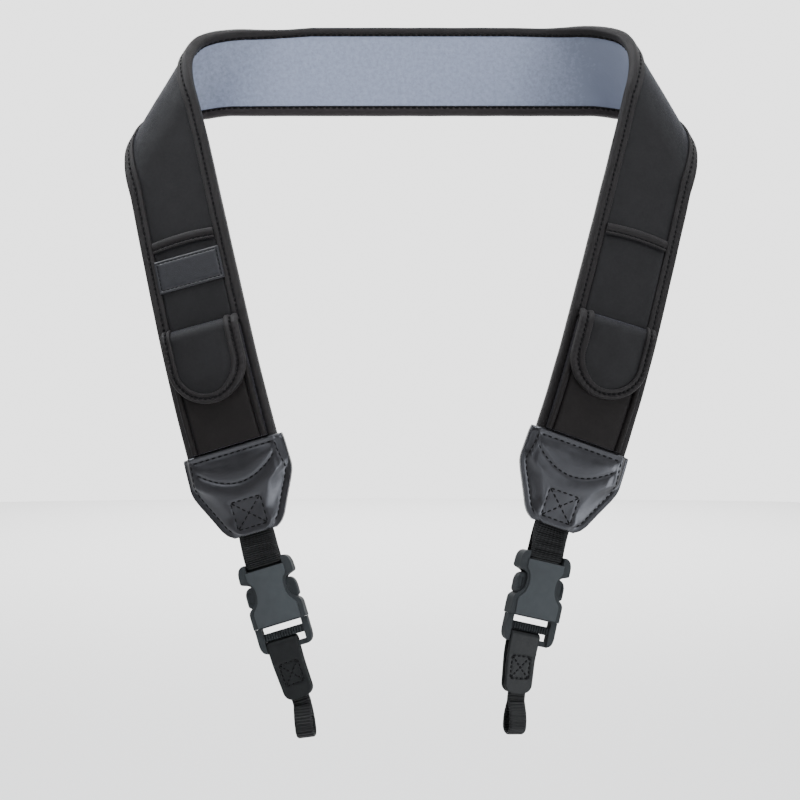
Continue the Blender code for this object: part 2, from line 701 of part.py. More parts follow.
make_strap()
for strap_side in SIDES:
    make_slip_pocket(strap_side)
    make_pouch(strap_side)
    make_flap(strap_side)
    make_end_patch(strap_side)
    make_webbing(strap_side)
    make_buckle(strap_side)
    make_tab(strap_side)
    make_lug_loop(strap_side)
make_label(LEFT)
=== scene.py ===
"""Looks of the padded camera neck strap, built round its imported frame.

Lengths are in millimetres in flat strap coordinates, as in the part's source:
  s  distance along the strap from the middle of the back band
  u  distance across the strap, positive towards the edge next to the neck
  h  height above the lining face, positive outwards
carry() takes flat points round the turns of one side to their place in metres.
"""
import math
from collections import namedtuple

import bmesh
import bpy
import numpy as np
from mathutils import Matrix, Vector


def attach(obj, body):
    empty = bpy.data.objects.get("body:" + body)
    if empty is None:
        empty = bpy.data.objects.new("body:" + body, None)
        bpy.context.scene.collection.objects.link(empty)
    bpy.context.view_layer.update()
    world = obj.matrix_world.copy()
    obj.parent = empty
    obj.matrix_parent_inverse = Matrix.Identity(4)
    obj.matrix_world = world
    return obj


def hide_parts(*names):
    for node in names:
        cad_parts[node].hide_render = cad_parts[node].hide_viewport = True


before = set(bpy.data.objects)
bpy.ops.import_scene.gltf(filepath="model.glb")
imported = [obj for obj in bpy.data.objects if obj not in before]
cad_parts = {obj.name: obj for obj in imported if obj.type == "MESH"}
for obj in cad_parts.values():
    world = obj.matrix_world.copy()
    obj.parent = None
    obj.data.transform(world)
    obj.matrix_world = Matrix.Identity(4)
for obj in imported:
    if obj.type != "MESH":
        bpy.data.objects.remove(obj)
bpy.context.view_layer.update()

# ---------------------------------------------------------------- sizes, millimetres
MM = 0.001
HALF = 25.75                   # half the strap's width, over the edge tapes
TAPE_FACE = 7.5                # the edge tape's width on the outer face
TAPE_BACK = 5.4                # and on the lining's side
TAPE_THICK = 0.8
SEAM_IN = 4.4                  # the tape's seam from the edge, on the outer face
BACK_SEAM_IN = 4.5             # and on the lining's side
LINING_THICK = 0.8
PAD_LOW = 1.1
PAD_TOP = 5.1
PAD_CROWN = 0.2
TAPE_TOP = 6.2
TAPE_LOW = -0.1
ON_STRAP = 6.5                 # underside of what is sewn on top of the strap
MID = 2.55                     # middle plane of webbing and buckles
LIE_GAP = 0.15                 # half the space between two layers that lie on each other

PATCH_AT = 375.0               # top edge of the end patch
PATCH_LENGTH = 49.5
PATCH_THICK = 1.2
TUCKED = 5.0                   # how far the strap's tapes and lining run on into the end patch
POCKET_MOUTH = 121.9           # above the end patch
MOUTH_BAND = 5.0
MOUTH_BOW = 1.2                # how far its tape bows up in the middle
LABEL_ABOVE = 102.5
LABEL_HALF = (19.0, 9.3)       # across, along
LABEL_THICK = 1.0
LABEL_FRAME_IN = 1.5
FLAP_AT = PATCH_AT - 70.6
FLAP_ROUND_AT = PATCH_AT - 47.0
FLAP_HALF = 21.8
FLAP_ROLL = 7.0
FLAP_LOW = 11.9
FLAP_TOP = 14.3
FLAP_TAPE = 5.3                # width of the tape round the flap
FLAP_SEAM_IN = 2.7
FLAP_SEAM_HIGH = 0.95          # its thread over the flap's face
POUCH_AT = FLAP_AT + 6.0
POUCH_HALF = 21.5
POUCH_DEPTH = 5.0
WEBBING_HALF = 10.0
WEBBING_THICK = 1.2
WEBBING_RIB = (1.15, 0.27)     # pitch, depth
BUCKLE_AT = PATCH_AT + 101.0   # lower edge of the buckle's socket
BAR_UP = 33.8
BAR_LOOP = 1.8
TAB_HALF = 8.9
TAB_END_HALF = 8.1
TAB_CORNER = 5.0
TAB_LENGTH = 41.7
TAB_THICK = 1.3
TAB_SHIFT = 2.2
TAB_LOOP = 1.7
TAB_TURN = 10.8
TAB_BOX = (21.5, 33.5, 5.4)    # below the socket's edge: top and bottom of the sewn square, half its width
LUG_HALF = 5.0
LUG_THICK = 1.0
LUG_LENGTH = 64.0
LUG_OUTWARD = 0.4
LUG_HOLE = 8.0
LUG_RIB = (1.67, 0.28)

Thread = namedtuple("Thread", "pitch length thick")
FACE_THREAD = Thread(3.0, 2.0, 0.60)
LINING_THREAD = Thread(3.7, 3.0, 0.80)
MOUTH_THREAD = Thread(3.0, 2.3, 0.62)
LABEL_THREAD = Thread(2.4, 1.9, 0.28)
FLAP_THREAD = Thread(2.8, 2.0, 0.52)
PATCH_THREAD = Thread(3.3, 2.5, 0.46)
TAB_THREAD = Thread(2.2, 1.7, 0.46)

# ---------------------------------------------------------------- the turns of the strap
Turn = namedtuple("Turn", "kind at over turn line")
Side = namedtuple("Side", "name sign turns")


def shoulder_turns(fold_at, fold_line, droop, patch_turn):
    return [
        Turn("side", fold_at - 31.0, 30.0, droop, 73.0),
        Turn("bend", fold_at, 68.0, 166.0, fold_line),
        Turn("bend", 300.0, 120.0, 4.0, 90.0),
        Turn("side", 345.0, 80.0, patch_turn, 90.0),
    ]


def hardware_turns(webbing, twist, buckle, tab, lug):
    return [
        Turn("side", PATCH_AT + 53.0, 6.0, webbing, 90.0),
        Turn("twist", PATCH_AT + 56.0, 12.0, twist, 90.0),
        Turn("side", PATCH_AT + 59.0, 6.0, buckle, 90.0),
        Turn("side", BUCKLE_AT + 21.0, 10.0, tab, 90.0),
        Turn("side", BUCKLE_AT + 45.0, 5.0, lug, 90.0),
    ]


LEFT = Side("left", -1, shoulder_turns(147.8, 45.1, -13.5, 2.4)
            + hardware_turns(-2.9, -4.0, 3.8, 3.5, -12.5))
RIGHT = Side("right", 1, shoulder_turns(148.6, 46.2, -13.0, 3.8)
             + hardware_turns(-4.7, 9.0, -1.6, -7.3, -3.0))
SIDES = (LEFT, RIGHT)
FACES = (("front", 1), ("back", -1))
BAND_WIDTH = (60.0, 1.03, 1.15)
FRONT_WIDTHS = [
    (200.0, 0.995, 0.0),
    (300.0, 1.03, 0.0),
    (PATCH_AT + 5.0, 1.03, 0.0),
    (PATCH_AT + 45.0, 1.0, 0.0),
]
WIDTHS = {  # along the strap, share of the full width, rise of the middle line
    "left": np.array([BAND_WIDTH, (108.0, 0.96, -0.6), (135.0, 0.94, -1.2)] + FRONT_WIDTHS),
    "right": np.array([BAND_WIDTH, (115.0, 1.0, 0.4)] + FRONT_WIDTHS),
}


def turned(points, axis, angle):
    """Rows of points turned about one unit axis, each by its own angle."""
    cos = np.cos(angle)[:, None]
    sin = np.sin(angle)[:, None]
    along = (points @ axis)[:, None]
    return points * cos + np.cross(axis, points) * sin + axis * along * (1 - cos)


def apply_turn(turn, flat, points):
    line = math.radians(turn.line)
    square = np.array((math.sin(line), math.cos(line), 0.0))
    lift = np.array((0.0, 0.0, -1.0))
    if turn.kind != "bend":
        lift = np.array((-math.cos(line), math.sin(line), 0.0))
    start = np.array((turn.at, 0.0, 0.0)) - square * turn.over / 2
    reach = np.clip((flat - start) @ square, 0.0, turn.over)
    total = math.radians(turn.turn)
    angle = total * reach / turn.over
    if turn.kind == "twist":
        middle = np.array((0.0, 0.0, MID))
        return turned(points - middle, np.array((1.0, 0.0, 0.0)), angle) + middle
    radius = turn.over / total
    ahead = (radius * np.sin(angle))[:, None]
    aside = (radius * (1 - np.cos(angle)))[:, None]
    rolled = turned(points - start - square * reach[:, None], np.cross(square, lift), angle)
    return rolled + start + (square * ahead + lift * aside)


def carry(side, flat):
    """World places, in metres, of rows of flat points (s, u, h) in millimetres."""
    points = np.array(flat, float).reshape(-1, 3)
    at = points[:, 0]
    along, share, rise = WIDTHS[side.name].T
    points[:, 1] = points[:, 1] * np.interp(at, along, share) + np.interp(at, along, rise)
    ground = points * (1.0, 1.0, 0.0)
    for turn in reversed(side.turns):
        points = apply_turn(turn, ground, points)
    return points[:, [0, 2, 1]] * (side.sign, 1.0, 1.0) * MM


def carry_whole(flat):
    """The same for a piece drawn in one length, with s negative on the left side."""
    flat = np.array(flat, float).reshape(-1, 3)
    left = flat[:, 0] < 0
    world = np.empty_like(flat)
    world[left] = carry(LEFT, flat[left] * (-1.0, 1.0, 1.0))
    world[~left] = carry(RIGHT, flat[~left])
    return world


def on_side(side):
    return lambda flat: carry(side, flat)


# ---------------------------------------------------------------- outlines and curves
WAVES = 5


def rounded(corners, steps=4, closed=True):
    """Outline through (x, y, reach) corners, each eased by a curve of that reach."""
    corners = [np.array(corner, float) for corner in corners]
    last = len(corners) - 1
    outline = []
    for i, corner in enumerate(corners):
        point, reach = corner[:2], corner[2]
        if reach <= 0 or (not closed and i in (0, last)):
            outline.append(point)
            continue
        before = corners[i - 1][:2] - point
        after = corners[(i + 1) % len(corners)][:2] - point
        start = point + before * min(reach / np.linalg.norm(before), 0.5)
        end = point + after * min(reach / np.linalg.norm(after), 0.5)
        for share in np.linspace(0, 1, steps + 1):
            outline.append(start * (1 - share) ** 2 + point * 2 * share * (1 - share) + end * share ** 2)
    return np.array(outline)


def mirrored(half):
    """Whole outline from the half with x >= 0, drawn from one end to the other."""
    half = np.array(half, float)
    return np.vstack((half, half[::-1] * (-1.0, 1.0)))


def smoothstep(x):
    x = np.clip(x, 0.0, 1.0)
    return x * x * (3 - 2 * x)


def bump(x, centre, width):
    """A soft hump of height 1 and that half width at about 0.4."""
    return np.exp(-((x - centre) / width) ** 2)


def pinch(along, pitch):
    """From 1 between two stitches to 0 at the middle of one."""
    return 0.5 + 0.5 * np.cos(2 * math.pi * along / pitch)


def ripple(s, u, length, amount, seed):
    """Soft unevenness: fixed waves of about that length."""
    rng = np.random.default_rng(seed)
    angles = rng.uniform(0, math.pi, WAVES)
    phases = rng.uniform(0, 6.28, WAVES)
    scales = rng.uniform(0.7, 1.5, WAVES)
    total = 0.0
    for angle, phase, scale in zip(angles, phases, scales):
        along = s * math.cos(angle) + u * math.sin(angle)
        total = total + np.sin(along * 2 * math.pi / (length * scale) + phase)
    return amount * total / WAVES


def steps_between(first, last, step):
    return np.linspace(first, last, max(int(round(abs(last - first) / step)), 1) + 1)


def both_ways(last, step):
    """Even steps from -last to last."""
    half = steps_between(0.0, last, step)
    return np.concatenate((-half[:0:-1], half))


def flat_rows(s, u, h):
    """Rows of flat points; a single number stands for a whole column."""
    return np.column_stack(np.broadcast_arrays(s, u, h))


def columns_of(loops):
    """The s, u and h of loops, as views."""
    return loops[..., 0], loops[..., 1], loops[..., 2]


def walk(path):
    """Distance walked along a path at each of its points."""
    steps = np.linalg.norm(np.diff(path, axis=0), axis=1)
    return np.concatenate(((0.0,), np.cumsum(steps)))


def points_at(at, walked, path):
    return np.column_stack([np.interp(at, walked, column) for column in path.T])


def box_and_cross(top, low, half, count):
    """The lines of a sewn box and its cross, as runs of (s, u)."""
    corners = [(top, -half), (top, half), (low, half), (low, -half), (top, -half), (low, half)]
    lines = list(zip(corners, corners[1:])) + [((top, half), (low, -half))]
    return [(np.linspace(s_a, s_b, count), np.linspace(u_a, u_b, count))
            for (s_a, u_a), (s_b, u_b) in lines]


# ---------------------------------------------------------------- meshes
def add_object(name, data):
    made = bpy.data.objects.new(name, data)
    bpy.context.scene.collection.objects.link(made)
    return made


def dress(mesh, look, sharp):
    """The look's material, and smooth shading up to that angle in degrees."""
    mesh.shade_smooth()
    mesh.set_sharp_from_angle(angle=math.radians(sharp))
    mesh.materials.clear()
    mesh.materials.append(LOOKS[look].material)


def flat_mesh(name, points, faces, flat, look, smooth):
    """A piece from its mesh, which also keeps its flat coordinates for the materials."""
    mesh = bpy.data.meshes.new(name)
    mesh.from_pydata(points.tolist(), [], faces)
    shape = bmesh.new()
    shape.from_mesh(mesh)
    if shape.calc_volume(signed=True) < 0:
        bmesh.ops.reverse_faces(shape, faces=shape.faces)
    shape.to_mesh(mesh)
    shape.free()
    attribute = mesh.attributes.new("flat", "FLOAT_VECTOR", "POINT")
    attribute.data.foreach_set("vector", np.asarray(flat, np.float32).ravel())
    dress(mesh, look, smooth)
    return add_object(name, mesh)


def finish(piece, slot, *nodes):
    if nodes:
        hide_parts(*nodes)
    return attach(piece, "root")


def loft(name, loops, world, look, *nodes, smooth=60.0):
    """Closed piece through closed loops of flat points; loops is (sections, points, 3)."""
    loops = np.asarray(loops, float)
    count, size = loops.shape[:2]
    flat = loops.reshape(-1, 3)
    first = np.arange(count - 1)[:, None] * size
    here = first + np.arange(size)[None, :]
    beside = first + (np.arange(size)[None, :] + 1) % size
    faces = np.stack((here, beside, beside + size, here + size), -1).reshape(-1, 4).tolist()
    faces.append(list(range(size - 1, -1, -1)))
    faces.append(list(range((count - 1) * size, count * size)))
    return finish(flat_mesh(name, world(flat), faces, flat, look, smooth), LOOKS[look].slot, *nodes)


def loft_on(side, name, node, loops, look):
    return loft(f"{name}_{side.name}", loops, on_side(side), look, f"{node}_{side.name}")


def along_strap(stations, section):
    """Loops of one (u, h) section, or of section(s), at each station."""
    loops = []
    for s in stations:
        outline = section(s) if callable(section) else section
        loops.append(flat_rows(s, outline[:, 0], outline[:, 1]))
    return np.array(loops)


# ---------------------------------------------------------------- stitches
STITCH_RINGS = np.array([(-1.0, 0.35), (-0.72, 0.9), (0.0, 1.0), (0.72, 0.9), (1.0, 0.35)])
STITCH_SIDES = 6
STITCH_SINK = 0.3              # how far its ends go into the cloth
HEADING_REACH = 0.3


def stitch_places(path, pitch):
    """Middles and directions of stitches set along a flat path at an even pitch."""
    path = np.asarray(path, float)
    walked = walk(path)
    count = max(int(walked[-1] / pitch), 1)
    at = (np.arange(count) + 0.5) * walked[-1] / count
    heading = (points_at(np.minimum(at + HEADING_REACH, walked[-1]), walked, path)
               - points_at(np.maximum(at - HEADING_REACH, 0.0), walked, path))
    return points_at(at, walked, path), heading / np.linalg.norm(heading, axis=1)[:, None]


def make_stitches(name, paths, world, slot, thread, up=1.0):
    """All the stitches of some flat paths as one piece of short thick threads."""
    rows = [stitch_places(path, thread.pitch) for path in paths]
    middles = np.vstack([row[0] for row in rows])
    heading = np.vstack([row[1] for row in rows])
    across = np.cross(heading, (0.0, 0.0, float(up)))
    across /= np.linalg.norm(across, axis=1)[:, None]
    lift = np.cross(across, heading)
    turn = np.arange(STITCH_SIDES) * 2 * math.pi / STITCH_SIDES
    rings = []
    for reach, share in STITCH_RINGS:
        centre = middles + heading * (reach * thread.length / 2) - lift * (STITCH_SINK * reach * reach)
        wide = (thread.thick * share * np.cos(turn))[None, :, None]
        high = (thread.thick * 0.8 * share * np.sin(turn))[None, :, None]
        rings.append(centre[:, None, :] + across[:, None, :] * wide + lift[:, None, :] * high)
    flat = np.stack(rings, 1).reshape(-1, 3)
    size = len(STITCH_RINGS) * STITCH_SIDES
    pattern = []
    for low in range(0, size - STITCH_SIDES, STITCH_SIDES):
        for i in range(STITCH_SIDES):
            after = (i + 1) % STITCH_SIDES
            pattern.append([low + i, low + after, low + STITCH_SIDES + after, low + STITCH_SIDES + i])
    pattern += [list(range(STITCH_SIDES - 1, -1, -1)), list(range(size - STITCH_SIDES, size))]
    faces = []
    for start in range(0, len(flat), size):
        faces += [[start + corner for corner in face] for face in pattern]
    return finish(flat_mesh(name, world(flat), faces, flat, "thread", 80.0), slot)


# ---------------------------------------------------------------- materials
class Nodes:
    """Short ways to add nodes to one tree and to join them."""

    def __init__(self, tree):
        self.tree = tree

    def node(self, kind, **settings):
        made = self.tree.nodes.new(kind)
        for key, value in settings.items():
            if key.startswith("in_"):
                made.inputs[key[3:]].default_value = value
            else:
                setattr(made, key, value)
        return made

    def link(self, source, target):
        self.tree.links.new(source, target)

    def split(self, source):
        parts = self.node("ShaderNodeSeparateXYZ")
        self.link(source, parts.inputs[0])
        return parts.outputs

    def math(self, operation, first, second=None):
        made = self.node("ShaderNodeMath", operation=operation)
        for socket, value in zip(made.inputs, (first, second)):
            if isinstance(value, (int, float)):
                socket.default_value = value
            elif value is not None:
                self.link(value, socket)
        return made.outputs[0]

    def span(self, source, low, high, out_low, out_high, ease="LINEAR"):
        made = self.node("ShaderNodeMapRange", interpolation_type=ease)
        limits = {"From Min": low, "From Max": high, "To Min": out_low, "To Max": out_high}
        for socket, value in limits.items():
            made.inputs[socket].default_value = value
        self.link(source, made.inputs["Value"])
        return made.outputs[0]


class Shader(Nodes):
    """One Principled material and its textures."""

    def __init__(self, name, color, roughness, **values):
        self.material = bpy.data.materials.new(name)
        self.material.use_nodes = True
        super().__init__(self.material.node_tree)
        self.sockets = self.tree.nodes["Principled BSDF"].inputs
        self.sockets["Base Color"].default_value = (*color, 1.0)
        self.sockets["Roughness"].default_value = roughness
        for socket, value in values.items():
            self.sockets[socket.replace("_", " ")].default_value = value
        self.color = color
        self.normal = None

    def texture(self, kind, size, **settings):
        """A texture over the object's own coordinates, with features of that size in millimetres."""
        scale = self.node("ShaderNodeVectorMath", operation="SCALE")
        scale.inputs["Scale"].default_value = 1 / MM
        self.link(self.node("ShaderNodeTexCoord").outputs["Object"], scale.inputs[0])
        made = self.node(kind, in_Scale=1 / size, **settings)
        self.link(scale.outputs[0], made.inputs["Vector"])
        return made.outputs

    def noise(self, size, detail=3.0, roughness=0.55):
        return self.texture("ShaderNodeTexNoise", size, in_Detail=detail, in_Roughness=roughness)["Fac"]

    def cells(self, size, feature="F1"):
        return self.texture("ShaderNodeTexVoronoi", size, feature=feature)["Distance"]

    def flat(self):
        """The flat coordinates, as sockets X, Y and Z."""
        return self.split(self.node("ShaderNodeAttribute", attribute_name="flat").outputs["Vector"])

    def ribs(self, pitch, slant=0.0):
        """Waves along the strap with that pitch, slanted by that share across it."""
        flat = self.flat()
        total = self.math("ADD", flat["X"], self.math("MULTIPLY", flat["Y"], slant))
        return self.math("SINE", self.math("MULTIPLY", total, 2 * math.pi / pitch))

    def knit(self, pitch, slant):
        return self.math("MULTIPLY", self.ribs(pitch, slant), self.ribs(pitch, -slant))

    def shade(self, source, low, high, dark, light):
        """Base colour from dark to light as source goes from low to high."""
        mix = self.node("ShaderNodeMix", data_type="RGBA")
        self.link(self.span(source, low, high, 0.0, 1.0), mix.inputs["Factor"])
        for socket, share in (("A", dark), ("B", light)):
            mix.inputs[socket].default_value = (*[c * share for c in self.color], 1.0)
        self.link(mix.outputs["Result"], self.sockets["Base Color"])

    def relief(self, source, depth):
        """Adds relief of that depth in millimetres."""
        made = self.node("ShaderNodeBump", in_Strength=1.0, in_Distance=depth * MM)
        self.link(source, made.inputs["Height"])
        if self.normal is not None:
            self.link(self.normal, made.inputs["Normal"])
        self.normal = made.outputs["Normal"]
        self.link(self.normal, self.sockets["Normal"])


Look = namedtuple("Look", "material slot")
MOST = (0.3, 0.7)              # between these lie most of a noise's values


def make_look(name, slot, color, roughness, specular, mottle, tones, reliefs,
              gloss=None, painted_shading=None, **values):
    """A material with uneven colour and relief.

    mottle   settings of the noise that its colour follows, with painted light and shade, where given, added to it
    tones    the noise's range, and the darkest and lightest shares of the colour
    reliefs  the kind of texture, its settings and its depth in millimetres
    gloss    size of the noise that its roughness follows, and the least and most roughness
    """
    look = Shader(name, color, roughness, Specular_IOR_Level=specular, **values)
    source = look.noise(*mottle)
    # painted light and shade, where given, is added to the colour's noise
    if painted_shading is not None:
        source = look.math("ADD", source, painted_shading(look))
    look.shade(source, *tones)
    for kind, settings, depth in reliefs:
        look.relief(kind(look, *settings), depth)
    if gloss is not None:
        size, least, most = gloss
        look.link(look.span(look.noise(size), *MOST, least, most), look.sockets["Roughness"])
    return Look(look.material, slot)


def painted_fold_shade(look):
    """Painted shade: darkens the lining of the back band towards its folds."""
    along = look.flat()["X"]
    right = look.span(along, 60.0, 125.0, 0.0, -0.65)
    left = look.span(along, -125.0, -75.0, -0.3, 0.0)
    on_band = look.span(look.math("ABSOLUTE", along), 150.0, 190.0, 1.0, 0.25)
    return look.math("MULTIPLY", look.math("MINIMUM", right, left), on_band)


def painted_lining_side_light(look):
    """Painted light: lightens the tape on the lining's side, most along the strap's outer edge."""
    flat = look.flat()
    low = look.span(flat["Z"], 0.3, 2.5, 1.0, 0.0)
    outer = look.span(flat["Y"], -10.0, 10.0, 0.95, 0.05)
    return look.math("MULTIPLY", low, outer)


def face_fabric(name, color, specular, sheen):
    return make_look(name, "face_fabric", color, 0.60, specular, (9.0, 4.0), (*MOST, 0.86, 1.16),
                     [(Shader.knit, (0.55, 0.5), 0.030), (Shader.noise, (0.7, 2.0), 0.06)],
                     gloss=(1.4, 0.54, 0.68), Sheen_Weight=sheen, Sheen_Roughness=0.40,
                     Sheen_Tint=(0.66, 0.70, 0.90, 1.0))


def buckle_plastic(name, color, specular):
    return make_look(name, "buckle_plastic", color, 0.70, specular, (6.0, 3.0), (*MOST, 0.94, 1.06),
                     [(Shader.noise, (0.22, 3.0, 0.7), 0.020)])


LOOKS = {
    "face": face_fabric("face_fabric", (0.0052, 0.0049, 0.0054), 0.17, 0.08),
    # a warmer, darker copy of the face fabric for the pouch: partly its warmer tone, partly painted shade
    # of the strap's lower part
    "pocket": face_fabric("pocket_fabric", (0.0051, 0.0040, 0.0038), 0.13, 0.05),
    # the lining's colour carries painted shade towards the back band's folds
    "lining": make_look("lining_fabric", "lining_fabric", (0.194, 0.222, 0.306), 0.66, 0.4,
                        (2.6, 5.0, 0.7), (0.08, 0.70, 0.62, 1.14),
                        [(Shader.noise, (0.5, 2.0), 0.08), (Shader.noise, (3.5, 2.0), 0.18)],
                        painted_shading=painted_fold_shade, Sheen_Weight=0.08, Sheen_Roughness=0.5),
    # the tape's colour carries painted light on the lining's side
    "tape": make_look("edge_tape", "edge_tape", (0.0043, 0.0034, 0.0036), 0.58, 0.20,
                      (4.0, 3.0), (0.3, 1.3, 0.80, 3.20),
                      [(Shader.ribs, (0.8, 0.9), 0.045), (Shader.noise, (0.5, 2.0), 0.05)],
                      painted_shading=painted_lining_side_light, Sheen_Weight=0.03, Sheen_Roughness=0.5),
    "label": make_look("label_leather", "label", (0.0134, 0.0136, 0.0164), 0.42, 0.34,
                       (3.0, 4.0), (*MOST, 0.85, 1.15),
                       [(Shader.cells, (0.55,), 0.05), (Shader.noise, (0.35,), 0.03)]),
    "leather": make_look("patch_leather", "patch_leather", (0.0042, 0.0038, 0.0043), 0.38, 0.60,
                         (7.0, 3.0), (*MOST, 0.80, 1.25),
                         [(Shader.noise, (0.9, 2.0), 0.020), (Shader.noise, (6.0, 2.0), 0.12)],
                         gloss=(5.0, 0.34, 0.42), Specular_Tint=(0.90, 0.92, 1.0, 1.0)),
    "tab": make_look("tab_leather", "tab_leather", (0.0063, 0.0069, 0.0073), 0.46, 0.15,
                     (4.0, 3.0), (*MOST, 0.85, 1.20),
                     [(Shader.cells, (0.7, "SMOOTH_F1"), 0.030), (Shader.noise, (3.0, 2.0), 0.12)]),
    "webbing": make_look("webbing_weave", "webbing", (0.0020, 0.0022, 0.0024), 0.44, 0.17,
                         (1.2, 3.0), (*MOST, 0.70, 1.45), [(Shader.noise, (0.25, 2.0), 0.05)]),
    "panel": buckle_plastic("buckle_plastic", (0.0345, 0.0385, 0.0412), 0.08),
    "shell": buckle_plastic("buckle_shell", (0.0190, 0.0212, 0.0228), 0.10),
    "thread": make_look("sewing_thread", None, (0.0018, 0.0018, 0.0022), 0.50, 0.10,
                        (0.8,), (*MOST, 0.7, 1.4), [(Shader.ribs, (0.5,), 0.05)]),
}

# ---------------------------------------------------------------- the padded strap
PAD_TAPER = np.array([  # past the patch's top edge: along, share of the pad's full width
    (2.0, 1.0),
    (12.0, 0.98),
    (20.0, 0.82),
    (28.0, 0.5),
])


def make_pad():
    """Foam with its face fabric, a little crowned between the tapes."""
    half = HALF - 1.1
    flat_half = half - 1.5
    crown_half = 18.5
    under = [(u, PAD_LOW) for u in np.linspace(flat_half, -flat_half, 25)]
    over = [(u, PAD_TOP + PAD_CROWN * (1 - (u / crown_half) ** 4) if abs(u) < crown_half else PAD_TOP)
            for u in np.linspace(-flat_half, flat_half, 49)]
    left = [(-half, PAD_LOW + 1.2), (-half, PAD_TOP - 1.2)]
    right = [(half, PAD_TOP - 1.2), (half, PAD_LOW + 1.2)]
    outline = np.array(under + left + over + right)

    def section(s):
        share = np.interp(abs(s) - PATCH_AT, PAD_TAPER[:, 0], PAD_TAPER[:, 1])
        return outline * (share, 1.0)

    loops = along_strap(both_ways(PATCH_AT + PAD_TAPER[-1, 0], 2.0), section)
    s, u, h = columns_of(loops)
    visible = (h > PAD_TOP - 0.1) & (np.abs(u) < 18.0) & (np.abs(s) < PATCH_AT - POCKET_MOUTH - 3)
    loops[..., 2] += np.where(visible, ripple(s, u, 26.0, 0.10, 3), 0.0)
    loft("pad_cover", loops, carry_whole, "face", "pad")


def make_lining():
    half = HALF - TAPE_BACK - 0.15
    length = PATCH_AT + TUCKED
    inner = [(u, -0.12 * (1 - (u / half) ** 6)) for u in np.linspace(-half, half, 45)]
    outer = [(u, LINING_THICK) for u in np.linspace(half, -half, 23)]
    loops = along_strap(both_ways(length, 2.0), np.array(inner + outer))
    s, u, h = columns_of(loops)
    face = (h < 0.3) & (np.abs(u) < half - 1.5)
    loops[..., 2] += np.where(face, ripple(s, u, 18.0, 0.10, 5), 0.0)
    lining = loft("lining_cover", loops, carry_whole, "lining", "lining")


def tape_outline():
    """The edge tape folded round the pad's edge, with its two seams, as (u, h)."""
    ridge = TAPE_TOP + 0.2
    seam = HALF - SEAM_IN
    back_seam = HALF - BACK_SEAM_IN
    inner = HALF - TAPE_THICK
    return rounded([
        (HALF - TAPE_FACE, PAD_TOP + 0.3, 0.1), (HALF - TAPE_FACE + 0.1, ridge + 0.1, 1.0),
        (seam - 0.7, ridge, 0.9), (seam, TAPE_TOP - 0.50, 0.4), (seam + 0.9, TAPE_TOP + 0.15, 1.1),
        (HALF + 0.05, TAPE_TOP - 0.1, 2.8), (HALF + 0.05, TAPE_LOW - 0.05, 2.4),
        (back_seam + 0.8, TAPE_LOW - 0.3, 0.9), (back_seam, TAPE_LOW + 0.35, 0.35),
        (back_seam - 0.6, TAPE_LOW - 0.1, 0.4), (HALF - TAPE_BACK, TAPE_LOW, 0.2),
        (HALF - TAPE_BACK, LINING_THICK, 0.1),
        (inner - 0.9, LINING_THICK, 0.5), (inner, LINING_THICK + 0.9, 0.5), (inner, PAD_TOP - 0.6, 0.5),
        (inner - 0.9, PAD_TOP + 0.3, 0.5)])


def make_bindings():
    outline = tape_outline()
    seam = HALF - SEAM_IN
    seams = (("outer", seam, TAPE_TOP - 0.20, FACE_THREAD, 1),
             ("lining", HALF - BACK_SEAM_IN, TAPE_LOW - 0.05, LINING_THREAD, -1))
    for name, toward in (("neck_side", 1), ("outer_side", -1)):
        loops = along_strap(both_ways(PATCH_AT + TUCKED, 1.0), outline)
        s, u, h = columns_of(loops)
        front = h > PAD_TOP + 0.25
        loops[..., 2] -= np.where(front, 0.10 * pinch(s, FACE_THREAD.pitch) * bump(u, seam, 1.3), 0.0)
        loops[..., 2] += np.where(front, ripple(s, u * 0, 21.0, 0.08, 7), 0.0)
        loops[..., 1] += ripple(s, u * 0, 30.0, 0.12, 11) * smoothstep((u - seam) / 4.0)
        loops[..., 1] *= toward
        loft("edge_tape_" + name, loops, carry_whole, "tape", "binding_" + name)
        path = both_ways(PATCH_AT + 3.0, 1.5)
        for face, across, height, thread, up in seams:
            make_stitches(f"stitches_{face}_face_{name}", [flat_rows(path, toward * across, height)],
                          carry_whole, "edge_tape", thread, up)


